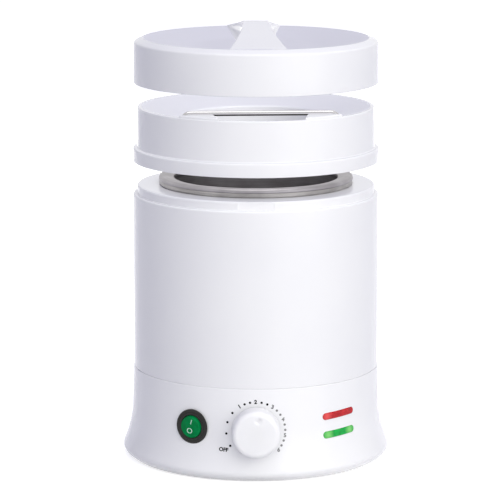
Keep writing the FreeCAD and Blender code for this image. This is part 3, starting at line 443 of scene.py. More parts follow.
def stacked(name, rings, finish=None):
    """Solid skinned over rings of as many points each, closed by a face at both ends."""
    count = len(rings[0])
    points = [tuple(point) for ring in rings for point in ring]
    faces = [list(range(count)), list(range(len(points) - count, len(points)))]
    for level in range(len(rings) - 1):
        start = level * count
        for k in range(count):
            after = (k + 1) % count
            low = [start + k, start + after]
            faces.append(low + [start + count + after, start + count + k])
    mesh = bpy.data.meshes.new(name)
    mesh.from_pydata(points, [], faces)
    return as_piece(name, shaded(mesh), finish)


def rod(radius, low, high, around=facets_around):
    """Plain round rod along Z, as a tool."""
    return turned("tool", [(0, low), (radius, low), (radius, high), (0, high)], around=around)


def prism(name, outline, low, high):
    """Upright solid with a plan outline of (x, y) points."""
    return stacked(name, [[(*point, height) for point in outline] for height in (low, high)])


def pill(half_length, half_height, steps=10, bars=12):
    """Plan of a slot with round ends and points along its straight sides."""
    straight = half_length - half_height
    plan = []
    for side in (1, -1):
        for step in range(steps + 1):
            turn = pi / 2 - pi * step / steps
            x = straight + half_height * cos(turn)
            plan.append((side * x, side * half_height * sin(turn)))
        for step in range(1, bars):
            x = straight * (1 - 2 * step / bars)
            plan.append((side * x, -side * half_height))
    return plan


def window_place(row):
    height = control_height + window_spacing * (0.5 - row)
    return outward(window_angle, 0, height, window_roll)


shell_white = moulded(
    "shell_white", shell_light, shell_shade, shell_edge, drift=18.0, grain=2200.0,
    polish=0.13, spread=0.04, edge_polish=0.12, bump=0.012 * mm, relief=0.15, IOR=1.5,
)
skirt = turned(
    "base_shell",
    rounded([
        (skirt_top, seam_height, seam_edge), flare, toe, sole, (plate_hole, sole[1]),
        (plate_hole, sole[1] + wall), (sole[0] - 0.4 * wall, sole[1] + wall),
        (toe[0] - 1.15 * wall, toe[1] + 0.5 * wall, toe[2] / 2),
        (flare[0] - wall, flare[1], flare[2]), (skirt_top - wall, shelf_bottom),
        (shelf_opening, shelf_bottom, 0.5 * mm), (shelf_opening, shelf_top, 0.5 * mm),
        (lip_radius - wall, shelf_top), (lip_radius - wall, lip_top),
        (lip_radius, lip_top, 0.5 * mm), (lip_radius, seam_height),
    ], steps=14),
    shell_white,
)
bare_tree = BVHTree.FromObject(skirt, bpy.context.evaluated_depsgraph_get())
bore_from = 0.06
bore_to = 0.12
combined(skirt, moved(rod(switch_hole, bore_from, bore_to), outward(switch_angle)))
for row in (0, 1):
    slot_tool = prism("tool", pill(window_half_length, window_half_height), bore_from, bore_to)
    combined(skirt, moved(slot_tool, window_place(row)))
combined(skirt, moved(rod(shaft_hole, 0.07, bore_to), outward(0)))
flange_corners = [
    (x * inlet_half[0], y * inlet_half[1], 4.2 * mm)
    for x, y in ((1, 1), (-1, 1), (-1, -1), (1, -1))
]
flange_tool = prism("tool", rounded(flange_corners), inlet_plane, bore_to)
combined(skirt, moved(flange_tool, outward(180)))
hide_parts("base_skirt")
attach(skirt, "housing")

# ---- Outer housing -------------------------------------------------------------------
# The upright wall of the heater with its stepped top, moulded in the same glossy white
# plastic. The ring on the shoulder centres the collar, and the notch at its front takes
# the collar's key. It is held down on the skirt by the tie screws.

body_radius = 80.0 * mm
shoulder_height = 174.4 * mm
step_radius = 77.44 * mm
step_top = 180.1 * mm
well_hole = 59.5 * mm
notch_half = 11.5 * mm
notch_depth = 1.0 * mm

housing = turned(
    "housing_shell",
    rounded([
        (body_radius, seam_height, seam_edge), (body_radius, shoulder_height, 1.4 * mm),
        (step_radius, shoulder_height, 0.3 * mm), (step_radius, step_top, 1.3 * mm),
        (well_hole, step_top, 0.5 * mm), (well_hole, step_top - wall),
        (step_radius - wall, step_top - wall), (step_radius - wall, shoulder_height - wall),
        (body_radius - wall, shoulder_height - wall), (body_radius - wall, seam_height),
    ]),
    shell_white,
)
notch_plan = [
    (-notch_half, -body_radius), (notch_half, -body_radius),
    (notch_half, -step_radius + notch_depth, 0.25 * mm),
    (-notch_half, -step_radius + notch_depth, 0.25 * mm),
]
combined(
    housing,
    prism("tool", rounded(notch_plan), shoulder_height + 0.02 * mm, step_top + 2 * mm),
)
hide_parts("outer_housing")
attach(housing, "housing")

# ---- Heating well and what is strapped round it --------------------------------------
# A spun aluminium can with a rolled flange hangs in the top of the housing. A steel band
# heater is clamped round it, and a glass-wool sleeve, a heat shield, the sensor bulb and
# the thermal cut-out sit against it. All of that is inside and is kept as constructed.

well_radius = 58.9 * mm
well_wall = 1.3 * mm
well_floor = 78.0 * mm
floor_thickness = 2.0 * mm
well_flange = 63.1 * mm
well_top = 183.2 * mm

well_aluminium = metal(
    "well_aluminium", (0.52, 0.5, 0.49, 1), (0.28, 0.27, 0.26, 1), around=1.0, lines=1100.0,
    polish=0.32,
)
well = turned(
    "heating_can",
    rounded([
        (0, well_floor), (well_radius, well_floor, 4.0 * mm),
        (well_radius, step_top, 0.2 * mm), (well_flange, step_top, 0.8 * mm),
        (well_flange, well_top, 0.35 * mm), (well_radius - well_wall, well_top, 0.4 * mm),
        (well_radius - well_wall, well_floor + floor_thickness, 2.7 * mm),
        (0, well_floor + floor_thickness),
    ]),
    well_aluminium,
)
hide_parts("heating_well")
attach(well, "housing")

heater_steel = metal("heater_steel", (0.5, 0.48, 0.45, 1), (0.3, 0.27, 0.25, 1), around=1.0)
shield_steel = metal("shield_steel", (0.66, 0.66, 0.66, 1), (0.45, 0.45, 0.45, 1))
copper = metal("copper", (0.8, 0.42, 0.27, 1), (0.5, 0.22, 0.14, 1), polish=0.25)
brass = metal("terminal_brass", (0.75, 0.58, 0.27, 1), (0.5, 0.37, 0.16, 1))
glass_wool = moulded(
    "glass_wool", (0.8, 0.78, 0.7, 1), (0.62, 0.6, 0.52, 1), (0.82, 0.8, 0.72, 1),
    drift=120.0, grain=900.0, polish=0.85, edge_polish=0.95, bump=0.4 * mm, relief=0.8,
)
finished(heater_steel, "band_heater", "bulb_clip")
finished(glass_wool, "insulation_sleeve")
finished(shield_steel, "heat_shield")
finished(copper, "sensor_bulb", "capillary_tube")

# ---- Wax pot -------------------------------------------------------------------------
# The lift-out pot is a spun aluminium cup of about one litre with a thick rolled lip that
# rests on the flange of the well. It is brushed round and round, with duller patches
# where hot wax has stained the metal.

pot_radius = 57.3 * mm
pot_inner = 55.9 * mm
pot_floor = 80.6 * mm
pot_lip = 63.4 * mm
pot_bead = 58.8 * mm
pot_mouth = 53.6 * mm
pot_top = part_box("wax_pot")[1].z
mouth_top = pot_top - 1.1 * mm

# its tones are darker than bare aluminium, painted shade for the deep inside of the pot; the
# duller patches are its wax stains
pot_aluminium = metal(
    "pot_aluminium", (0.44, 0.42, 0.445, 1), (0.27, 0.255, 0.265, 1), around=1.0,
    lines=1500.0, polish=0.28, spread=0.25, relief=0.2,
)
pot = turned(
    "lift_out_pot",
    rounded([
        (0, pot_floor), (pot_radius, pot_floor, 5.0 * mm), (pot_radius, well_top, 0.3 * mm),
        (pot_lip, well_top, 0.4 * mm), (pot_lip, pot_top, 2.2 * mm),
        (pot_bead, pot_top, 1.1 * mm), (pot_mouth, mouth_top, 0.8 * mm),
        (pot_mouth, mouth_top - 2.3 * mm, 0.6 * mm),
        (pot_inner, mouth_top - 4.6 * mm, 0.8 * mm),
        (pot_inner, pot_floor + floor_thickness, 3.6 * mm), (0, pot_floor + floor_thickness),
    ]),
    pot_aluminium,
)
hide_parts("wax_pot")
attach(pot, "pot")

# ---- Thermostat and its shaft --------------------------------------------------------
# A capillary thermostat in a black phenolic case sits behind the skirt on its threaded
# bush, held by one thin nut. Its steel shaft with a flat comes forward into the knob.

phenolic_black = moulded(
    "phenolic_black", (0.03, 0.028, 0.026, 1), (0.018, 0.017, 0.016, 1),
    (0.08, 0.078, 0.075, 1), drift=60.0, grain=1600.0, polish=0.4, bump=0.04 * mm,
)
shaft_steel = metal("shaft_steel", (0.72, 0.72, 0.72, 1), (0.52, 0.52, 0.52, 1), polish=0.22)
finished(phenolic_black, "thermostat_body", "thermal_cutout")
finished(shaft_steel, "thermostat_nut", "thermostat_shaft")

# ---- Control knob --------------------------------------------------------------------
# A round push-on knob, moulded hollow in the same white plastic as the shells, with a
# softly rounded front and a small dimple for a pointer. Its hub grips the thermostat's
# shaft, and turning it sets the heat.

knob_back = -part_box("control_knob")[1].y
knob_front = -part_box("control_knob")[0].y
knob_depth = knob_front - knob_back
knob_radius = 15.75 * mm
knob_front_radius = 15.1 * mm
knob_wall_inside = 12.8 * mm
hub_radius = 5.6 * mm
shaft_bore = 3.03 * mm
hub_setback = 0.6 * mm
hollow_depth = 6.6 * mm
blind_wall = 2.0 * mm
dimple_offset = 9.5 * mm
dimple_turn = 8.4
dimple_radius = 3.1 * mm
dimple_depth = 0.85 * mm

knob_white = moulded(
    "knob_white", (0.85, 0.848, 0.865, 1), (0.83, 0.828, 0.85, 1), (0.88, 0.88, 0.89, 1),
    drift=60.0, grain=2600.0, polish=0.34, spread=0.08, edge_polish=0.3, bump=0.012 * mm,
    relief=0.15, Subsurface_Weight=0.6, Subsurface_Radius=(1.0, 1.0, 1.0),
    Subsurface_Scale=4 * mm,
)
knob = turned(
    "dial_knob",
    rounded([
        (0, knob_depth - blind_wall), (shaft_bore, knob_depth - blind_wall),
        (shaft_bore, hub_setback), (hub_radius, hub_setback), (hub_radius, hollow_depth),
        (knob_wall_inside, hollow_depth, 0.5 * mm), (knob_wall_inside, 0),
        (knob_radius, 0, 0.5 * mm), (knob_front_radius, knob_depth, 3.2 * mm),
        (0, knob_depth),
    ], steps=12),
    knob_white,
    around=160,
)
dimple_tool = turned(
    "tool",
    rounded([
        (0, knob_depth - dimple_depth), (1.1 * mm, knob_depth - dimple_depth, 2.2 * mm),
        (2.2 * mm, knob_depth - 0.12 * mm, 1.5 * mm), (dimple_radius, knob_depth + 0.02 * mm),
        (dimple_radius, knob_depth + 1 * mm), (0, knob_depth + 1 * mm),
    ], steps=6),
    around=64,
)
combined(knob, moved(dimple_tool, spin(-dimple_turn) @ shift(0, dimple_offset, 0)))
moved(knob, outward(0, knob_back))
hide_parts("control_knob")
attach(knob, "knob")

# ---- Dial print ----------------------------------------------------------------------
# The scale is pad printed on the skirt round the knob in one pass of black ink: OFF, the
# numbers 1 to 6, two dots between neighbours and four on the way from OFF to 1. The ink
# is a thin film that lies on the curve of the skirt, with pale speckles towards the right.

print_middle = (-0.2 * mm, -0.8 * mm)
number_ring = 18.9 * mm
number_height = 2.4 * mm
number_weight = 0.065
number_angles = (-33.1, -0.2, 34.5, 67.2, 99.3, 129.4)
number_tilts = (-33.0, 0.0, 16.0, 8.0, 0.0, 0.0)
dot_ring = 18.85 * mm
dot_radius = 0.76 * mm
low_dot_runs = ((-52.0, -73.1), (-95.6, -120.4))
off_place = (-20.5 * mm, -12.15 * mm)
off_height = 2.35 * mm
off_tilt = 4.0
ink_film = 0.05 * mm
ink_root = 0.1 * mm
ink_black = (0.008, 0.008, 0.01, 1)
ink_pale = (0.46, 0.46, 0.47, 1)
pale_right_range = (8 * mm, 13 * mm)


def printed(piece, tree, direction, film=ink_film, root=ink_root):
    """Lays a flat print along a direction on to the surface that a tree holds."""
    way = Vector(direction).normalized()
    for point in piece.data.vertices:
        start = Vector(point.co) - way * 0.2
        hit = tree.ray_cast(start, way)[0]
        if hit is not None:
            point.co = hit - way * film
    thick = piece.modifiers.new("film", "SOLIDIFY")
    thick.thickness = film + root
    thick.offset = -1
    return settled(piece)


def flat_text(name, words, height, finish, weight=0.0):
    """Words as a flat mesh about their centre, read from +Z."""
    curve = bpy.data.curves.new(name, "FONT")
    curve.body = words
    curve.size = height / 0.7
    curve.offset = weight * height
    curve.align_x = "CENTER"
    curve.align_y = "CENTER"
    curve.resolution_u = 4
    writing = as_piece(name, curve)
    graph = bpy.context.evaluated_depsgraph_get()
    mesh = bpy.data.meshes.new_from_object(writing.evaluated_get(graph))
    bpy.data.objects.remove(writing)
    return as_piece(name, mesh, finish)


def ink_material():
    """Black ink film that turns paler and speckled towards the right."""
    made, tree, shader = blank("dial_ink")
    place = add(tree, "TexCoord").outputs["Object"]
    across = add(tree, "SeparateXYZ", {0: place}).outputs[0]
    speckle = noise(tree, place, 1800.0, 3.0)
    uneven = calc(tree, "MULTIPLY", speckle, ranged(tree, across, *pale_right_range))
    rough = add(tree, "MapRange", {"Value": speckle, "To Min": 0.35, "To Max": 0.6})
    fed(tree, shader, {
        "Base Color": mixed(tree, uneven, ink_black, ink_pale),
        "Roughness": rough.outputs[0],
        "Specular IOR Level": 0.1,
    })
    return made


def dot_pattern(finish):
    """Geometry nodes: a run of flat dots round a ring, with an even step between them."""
    tree = bpy.data.node_groups.new("dial_dots", "GeometryNodeTree")
    sockets = {}
    for name in ("Count", "Start", "Step", "Ring", "Dot"):
        kind = "NodeSocketInt" if name == "Count" else "NodeSocketFloat"
        made = tree.interface.new_socket(name, in_out="INPUT", socket_type=kind)
        sockets[name] = made.identifier
    tree.interface.new_socket("Mesh", in_out="OUTPUT", socket_type="NodeSocketGeometry")

    def step(kind, inputs):
        return fed(tree, tree.nodes.new("GeometryNode" + kind), inputs).outputs[0]

    given = tree.nodes.new("NodeGroupInput").outputs
    index = step("InputIndex", {})
    angle = calc(tree, "MULTIPLY_ADD", index, given["Step"], given["Start"])
    across = calc(tree, "MULTIPLY", calc(tree, "SINE", angle), given["Ring"])
    up = calc(tree, "MULTIPLY", calc(tree, "COSINE", angle), given["Ring"])
    where = add(tree, "CombineXYZ", {0: across, 1: up}).outputs[0]
    points = step("Points", {"Count": given["Count"], "Position": where})
    dot = tree.nodes.new("GeometryNodeMeshCircle")
    dot.fill_type = "TRIANGLE_FAN"
    fed(tree, dot, {"Vertices": 20, "Radius": given["Dot"]})
    copies = step("InstanceOnPoints", {"Points": points, "Instance": dot.outputs[0]})
    real = step("RealizeInstances", {0: copies})
    painted = step("SetMaterial", {0: real, "Material": finish})
    fed(tree, tree.nodes.new("NodeGroupOutput"), {0: painted})
    return tree, sockets


dial_ink = ink_material()
dot_tree, dot_sockets = dot_pattern(dial_ink)
thirds = [(2 * a + b, a + 2 * b) for a, b in zip(number_angles, number_angles[1:])]
dot_runs = low_dot_runs + tuple((a / 3, b / 3) for a, b in thirds)
marks = []
for index, (first, second) in enumerate(dot_runs):
    run = as_piece(f"dial_dots_{index + 1}", bpy.data.meshes.new("dots"))
    pattern = run.modifiers.new("pattern", "NODES")
    pattern.node_group = dot_tree
    values = {"Count": 2, "Start": radians(first), "Step": radians(second - first)}
    for key, value in {**values, "Ring": dot_ring, "Dot": dot_radius}.items():
        pattern[dot_sockets[key]] = value
    marks.append(settled(run))
for index, (turn, tilt) in enumerate(zip(number_angles, number_tilts)):
    digit = str(index + 1)
    number = flat_text(f"dial_number_{digit}", digit, number_height, dial_ink, number_weight)
    place = shift(number_ring * sin(radians(turn)), number_ring * cos(radians(turn)), 0)
    marks.append(moved(number, place @ spin(-tilt)))
off_word = flat_text("dial_off", "OFF", off_height, dial_ink, number_weight)
marks.append(moved(off_word, shift(*off_place, 0) @ spin(-off_tilt)))
for mark in marks:
    moved(mark, outward(0, 0.1) @ shift(*print_middle, 0))
    printed(mark, bare_tree, (0, 1, 0))
    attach(mark, "housing")

# ---- Power switch --------------------------------------------------------------------
# A round snap-in rocker switch in the skirt, turned a little clockwise. Its bezel is
# charcoal nylon with a fine groove, and the paddle tips on a steel pin in its well. The
# paddle is moulded in green plastic and is pad printed with I and O in white.

bezel_radius = 11.25 * mm
bezel_front = 1.4 * mm
bezel_body = 9.9 * mm
bezel_back = -17.6 * mm
well_side = 7.5 * mm
well_depth = 8.8 * mm
groove_ring = 9.2 * mm
groove_half = 0.22 * mm
groove_depth = 0.35 * mm
switch_roll = 13.0
pivot_height = -0.1 * mm
pin_clearance = 0.95 * mm
ball_radius = 7.3 * mm
ball_root = -4.0 * mm
paddle_crown = 2.2 * mm
paddle_tilt = 7.0
valley_half = 12 * mm
tool_reach = 10 * mm
on_mark = (0.55 * mm, 3.7 * mm)
on_place = (0.2 * mm, 4.0 * mm)
on_lean = 9.0
off_mark = (4.0 * mm, 3.4 * mm)
off_spot = (-0.2 * mm, -2.4 * mm)

charcoal_nylon = moulded(
    "charcoal_nylon", (0.016, 0.0155, 0.013, 1), (0.011, 0.0105, 0.009, 1),
    (0.05, 0.048, 0.044, 1), drift=200.0, grain=3000.0, polish=0.4, spread=0.15,
    edge_polish=0.35, Specular_IOR_Level=0.3,
)
switch_green = moulded(
    "switch_green", (0.0, 0.235, 0.062, 1), (0.0, 0.175, 0.046, 1), (0.01, 0.26, 0.07, 1),
    drift=200.0, grain=3000.0, spread=0.1, edge_polish=0.25, Specular_IOR_Level=0.05,
)
mark_white = moulded(
    "mark_white", (0.56, 0.78, 0.68, 1), (0.48, 0.72, 0.61, 1), (0.6, 0.8, 0.7, 1),
    drift=900.0, grain=4000.0, polish=0.4,
)
switch_place = outward(switch_angle, switch_seat, control_height, switch_roll)


def cross_bar(radius, half, height):
    """Rod along X at a height, as a tool."""
    bar = rod(radius, -half, half, 24)
    return moved(bar, shift(0, 0, height) @ Matrix.Rotation(pi / 2, 4, "Y"))


def rounded_edges(piece, width, steps=3, crease=30):
    """Small rounding on every edge sharper than the crease angle."""
    soft = piece.modifiers.new("soft", "BEVEL")
    soft.width = width
    soft.segments = steps
    soft.limit_method = "ANGLE"
    soft.angle_limit = radians(crease)
    soft.harden_normals = False
    return settled(piece)


bezel = turned(
    "switch_bezel",
    rounded([
        (0, bezel_front - well_depth), (well_side, bezel_front - well_depth),
        (well_side, bezel_front, 0.35 * mm),
        (groove_ring - groove_half, bezel_front, 0.08 * mm),
        (groove_ring, bezel_front - groove_depth),
        (groove_ring + groove_half, bezel_front, 0.08 * mm),
        (bezel_radius, bezel_front, 1.0 * mm), (bezel_radius, 0), (bezel_body, 0),
        (bezel_body, bezel_back), (0, bezel_back),
    ]),
    charcoal_nylon,
    around=128,
)
combined(bezel, cross_bar(0.88 * mm, bezel_body - 0.4 * mm, pivot_height))
moved(bezel, switch_place)
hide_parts("rocker_bezel")
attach(bezel, "housing")
finished(shaft_steel, "rocker_pin")

ball_turn = asin(ball_root / ball_radius)
ball_outline = [(0, ball_root)]
for step in range(25):
    lift = ball_turn + (pi / 2 - ball_turn) * step / 24
    ball_outline.append((ball_radius * cos(lift), ball_radius * sin(lift)))
paddle = turned("switch_paddle", ball_outline, switch_green, around=96)
rise = valley_half * tan(radians(paddle_tilt))
valley = [
    (-valley_half, paddle_crown + rise), (0, paddle_crown),
    (valley_half, paddle_crown + rise), (valley_half, valley_half),
    (-valley_half, valley_half),
]
upright = Matrix.Rotation(pi / 2, 4, "Z") @ Matrix.Rotation(pi / 2, 4, "X")
combined(paddle, moved(prism("tool", valley, -tool_reach, tool_reach), upright))
combined(paddle, cross_bar(pin_clearance, tool_reach, 0))
rounded_edges(paddle, 0.3 * mm)
tip = Matrix.Rotation(radians(paddle_tilt), 4, "X")
pivot_place = switch_place @ shift(0, 0, pivot_height) @ tip
moved(paddle, pivot_place)
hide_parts("rocker_paddle")
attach(paddle, "switch")

paddle_tree = BVHTree.FromObject(paddle, bpy.context.evaluated_depsgraph_get())
switch_way = -(pivot_place.to_3x3() @ Vector((0, 0, 1)))


def sized(piece, width, height):
    """Scales a flat mesh about its own middle to a width and a height."""
    corners = [Vector(corner) for corner in piece.bound_box]
    low = Vector([min(c[k] for c in corners) for k in range(3)])
    high = Vector([max(c[k] for c in corners) for k in range(3)])
    size = high - low
    middle = (high + low) / 2
    grow = Matrix.Diagonal((width / size.x, height / size.y, 1, 1))
    return moved(piece, grow @ Matrix.Translation(-middle))


for name, words, size, spot, lean in (
    ("switch_on_mark", "I", on_mark, on_place, on_lean),
    ("switch_off_mark", "O", off_mark, off_spot, 0.0),
):
    mark = sized(flat_text(name, words, 3 * mm, mark_white), *size)
    moved(mark, spin(-lean))
    moved(mark, pivot_place @ shift(*spot, 0.1))
    printed(mark, paddle_tree, switch_way, 0.03 * mm)
    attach(mark, "switch")

# ---- Indicator windows ---------------------------------------------------------------
# Two slot-shaped lenses, red over green, snapped into the skirt flush with its curve.
# They are moulded in mottled coloured plastic, with paler patches of painted lamp glow
# where the small lamps on the board behind them are near.

lens_gap = 0.1 * mm
lens_thickness = 3.0 * mm
lens_proud = 0.35 * mm
lens_levels = ((0.0, -0.15), (0.06, 0.1), (0.25, 0.27), (0.6, 0.34), (1.1, 0.35), (1.75, 0.35))


def lens_plastic(name, body, dark, pale, glow_places):
    """Coloured lens: mottled body colour, with painted lamp glow as paler patches near lamps.
    """
    made, tree, shader = blank(name)
    surface = placed_effect(tree, moulded_skin, body, dark, 420.0, 1500.0, 0.12, 0.08)
    place = add(tree, "TexCoord").outputs["Object"]
    glow = 0.0
    for spot, radius in glow_places:
        apart = add(tree, "VectorMath", {0: place, 1: spot}, operation="DISTANCE")
        near = ranged(tree, apart.outputs["Value"], radius, 0.15 * radius)
        glow = calc(tree, "ADD", near, glow)
    fed(tree, shader, {
        "Base Color": mixed(tree, glow, surface["Color"], pale),
        "Roughness": surface["Roughness"],
        "Normal": bumped(tree, surface["Height"], 0.2, 0.03 * mm),
        "Specular IOR Level": 0.3,
    })
    return made


def lens(name, row, finish):
    """Lens of stacked slot outlines laid on the curve of the skirt."""
    place = window_place(row)
    way = -(place.to_3x3() @ Vector((0, 0, 1)))
    rings = []
    for inset, proud in ((0.0, lens_proud / mm - lens_thickness / mm),) + lens_levels:
        half_length = window_half_length - lens_gap - inset * mm
        half_height = window_half_height - lens_gap - inset * mm
        ring = []
        for x, y in pill(half_length, half_height):
            hit = bare_tree.ray_cast(place @ Vector((x, y, 0.15)), way)[0]
            ring.append(hit - way * proud * mm)
        rings.append(ring)
    return stacked(name, rings, finish)


def lamp_glow_spot(row, across):
    """Patch of painted lamp glow on a window in front of a lamp: its middle and its radius."""
    return tuple(window_place(row) @ Vector((across, 0, 0.0815))), 4.5 * mm


# the pale patches of the lenses are painted lamp glow
red_plastic = lens_plastic(
    "red_plastic", (0.58, 0.012, 0.018, 1), (0.36, 0.006, 0.01, 1), (0.75, 0.08, 0.08, 1),
    [lamp_glow_spot(0, -10.0 * mm)],
)
green_plastic = lens_plastic(
    "green_plastic", (0.0, 0.42, 0.058, 1), (0.0, 0.3, 0.04, 1), (0.2, 0.62, 0.16, 1),
    [lamp_glow_spot(1, -9.5 * mm), lamp_glow_spot(1, 9.0 * mm)],
)
for name, row, finish in (("red_window", 0, red_plastic), ("green_window", 1, green_plastic)):
    window = lens(name, row, finish)
    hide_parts(name.replace("window", "lens"))
    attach(window, "housing")
lamp_glass = moulded(
    "lamp_glass", (0.75, 0.75, 0.7, 1), (0.6, 0.6, 0.55, 1), (0.8, 0.8, 0.78, 1), polish=0.1
)
board_green = moulded(
    "board_green", (0.02, 0.12, 0.04, 1), (0.012, 0.08, 0.025, 1), (0.3, 0.28, 0.12, 1),
    drift=300.0, polish=0.35,
)
finished(lamp_glass, "indicator_lamps")
finished(board_green, "indicator_board")

# ---- Mains inlet and wiring ----------------------------------------------------------
# A black three-pin mains inlet is screwed to the back of the skirt, and its leads run to
# a nylon terminal block on the base plate, and on to the switch, the thermostat and the
# heater. The leads are sleeved in silicone rubber with crimped ends.

block_nylon = moulded(
    "block_nylon", (0.78, 0.78, 0.74, 1), (0.7, 0.7, 0.66, 1), (0.82, 0.82, 0.8, 1),
    drift=80.0, polish=0.35,
)
lead_silicone = moulded(
    "lead_silicone", (0.3, 0.06, 0.05, 1), (0.2, 0.035, 0.03, 1), (0.35, 0.08, 0.07, 1),
    drift=80.0, polish=0.5,
)
finished(phenolic_black, "mains_inlet")
finished(brass, "inlet_pins", "switch_terminals")
finished(block_nylon, "terminal_block")
finished(screw_steel, "block_screws")
finished(lead_silicone, "wiring")

# ---- Splash collar -------------------------------------------------------------------
# A white moulded ring that sits on the shoulder of the body and funnels drips back into
# the pot. Two raised pads near its front carry the scraper wire, with a flat pouring
# recess between them. Its key drops into the notch of the body's step ring.

collar_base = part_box("collar")[0].z
flange_radius = 80.1 * mm
flange_height = 9.0 * mm
collar_radius = 77.5 * mm
collar_rim = 76.9 * mm
collar_height = 35.4 * mm
rim_inner = 74.5 * mm
funnel_opening = 46.6 * mm
throat = 29.0 * mm
throat_drop = 10.5 * mm
funnel_wall = 2.0 * mm
collar_wall = 2.2 * mm
seat_inner = step_radius + 0.3 * mm
seat_height = 5.7 * mm
features_angle = 3.0
pad_front = 77.5 * mm
pad_back = 53.7 * mm
pad_outer = 51.8 * mm
recess_back_half = 30.0 * mm
recess_front_half = 26.5 * mm
pad_top = collar_height + 1.6 * mm
pad_rounding = 0.7 * mm
pad_reach = 76.5 * mm
pad_edge = 1.1 * mm
# painted shade: a darker, bluer tone for the funnel's slope and throat
funnel_painted_shade = (0.785, 0.783, 0.83, 1)

collar_outline = rounded([
    (flange_radius, 0, 0.3 * mm), (flange_radius, flange_height, 1.3 * mm),
    (collar_radius, flange_height, 1.0 * mm), (collar_rim, collar_height, 0.9 * mm),
    (rim_inner, collar_height, 0.8 * mm), (funnel_opening, throat, 1.4 * mm),
    (funnel_opening, throat - throat_drop),
    (funnel_opening + funnel_wall, throat - throat_drop),
    (funnel_opening + funnel_wall, throat - funnel_wall),
    (rim_inner - 0.4 * mm, collar_height - funnel_wall - 0.4 * mm),
    (collar_radius - collar_wall, collar_height - funnel_wall - 1.6 * mm),
    (collar_radius - collar_wall, seat_height + 1.4 * mm),
    (seat_inner, seat_height + 1.0 * mm), (seat_inner, 0),
])
collar = turned("splash_collar", collar_outline, shell_white)


def with_painted_shade(finish, name, attribute, tone):
    """Copy of a finish with painted shade: its own darker tone, and satin, where a mask says
    so.
    """
    made = finish.copy()
    made.name = name
    tree = made.node_tree
    shader = tree.nodes["Principled BSDF"]
    mask = add(tree, "Attribute", attribute_name=attribute).outputs["Fac"]
    colour, rough = (
        shader.inputs[socket].links[0].from_socket for socket in ("Base Color", "Roughness")
    )
    satin = add(tree, "Mix", {0: mask, 2: rough, 3: 0.5}).outputs[0]
    painted_shade = mixed(tree, mask, colour, tone)
    fed(tree, shader, {"Base Color": painted_shade, "Roughness": satin})
    return made


def masked(piece, name, share):
    """Stores at each vertex a share from 0 to 1, which a function gives for its place."""
    marks = piece.data.attributes.new(name, "FLOAT", "POINT")
    for point, mark in zip(piece.data.vertices, marks.data):
        mark.value = share(*point.co)


def scaled_about(outline, inset):
    """Outline of (x, y) points drawn in by an amount on every side, about its middle."""
    low = Vector([min(p[k] for p in outline) for k in (0, 1)])
    high = Vector([max(p[k] for p in outline) for k in (0, 1)])
    middle = (low + high) / 2
    half = (high - low) / 2
    return [
        tuple(middle[k] + (p[k] - middle[k]) * (1 - inset / half[k]) for k in (0, 1))
        for p in outline
    ]


for side in (-1, 1):
    plan = rounded([
        (side * recess_back_half, -pad_back, 1.2 * mm),
        (side * pad_outer, -pad_back, 2.5 * mm), (side * pad_outer, -pad_front, 2.5 * mm),
        (side * recess_front_half, -pad_front, 1.2 * mm),
    ])
    rings = []
    for inset, height in (
        (0, 8 * mm), (0, pad_top - pad_rounding),
        (0.13 * pad_rounding, pad_top - 0.5 * pad_rounding),
        (0.5 * pad_rounding, pad_top - 0.13 * pad_rounding), (pad_rounding, pad_top),
    ):
        rings.append([(x, y, height) for x, y in scaled_about(plan, inset)])
    form = stacked("tool", rings)
    limit = rounded([
        (0, throat - funnel_wall / 2), (funnel_opening, throat - funnel_wall / 2),
        (pad_reach, collar_height - funnel_wall / 2), (pad_reach, pad_top, pad_edge),
        (0, pad_top),
    ])
    combined(form, turned("tool", limit), "INTERSECT")
    combined(collar, moved(form, spin(features_angle)), "UNION")
key_corner = (10.9 * mm, -79.1 * mm)
key_root = (10.9 * mm, -76.64 * mm)
key = [(-key_corner[0], key_corner[1]), key_corner, key_root, (-key_root[0], key_root[1])]
combined(collar, prism("tool", key, 0.2 * mm, 5.3 * mm), "UNION")

# ---- Scraper wire --------------------------------------------------------------------
# A straight bar of polished stainless wire along the back of the pads, with both ends
# bent down and pressed into them. The spatula is wiped on it. It is bright drawn wire, with
# faint lines along it, painted shade under it between the pads and painted shadow at its feet.

wire_radius = 1.65 * mm
wire_half_span = 49.4 * mm
wire_setback = 55.2 * mm
wire_height = 37.8 * mm
# painted shade: the wire's underside between the pads, and a painted contact shadow at its
# feet
wire_shade_half = 30.6 * mm
wire_shade_fade = 0.6 * mm
wire_shade_from = 0.22
wire_shade_to = 0.36
foot_shadow_from = 0.2
foot_shadow_to = 1.6
foot_shadow_share = 0.8
wire_shade_tone = (0.03, 0.027, 0.024, 1)
wire_bend = 5.0 * mm
wire_foot = 7.0 * mm
wire_steel = metal(
    "wire_steel", (0.6, 0.59, 0.6, 1), (0.5, 0.49, 0.5, 1), lines=1500.0, polish=0.1,
    spread=0.12,
)


def bent_rod(name, corners, radius, bend, finish=None, around=32):
    """Round rod through corners in the XZ plane, with its bends rounded."""
    middle = [(x, z, bend) for x, z in corners[1:-1]]
    bends = [Vector((x, 0, z)) for x, z in rounded([corners[0], *middle, corners[-1]], 10)]
    line = [bends[0]]
    for start, end in zip(bends, bends[1:]):
        steps = int((end - start).length / (0.5 * mm)) + 1
        line += [start.lerp(end, step / steps) for step in range(1, steps + 1)]
    turns = [2 * pi * k / around for k in range(around)]
    side = Vector((0, 1, 0))
    rings = []
    for index, here in enumerate(line):
        way = (line[min(index + 1, len(line) - 1)] - line[max(index - 1, 0)]).normalized()
        up = way.cross(side)
        rings.append([here + radius * (cos(turn) * side + sin(turn) * up) for turn in turns])
    return stacked(name, rings, finish)


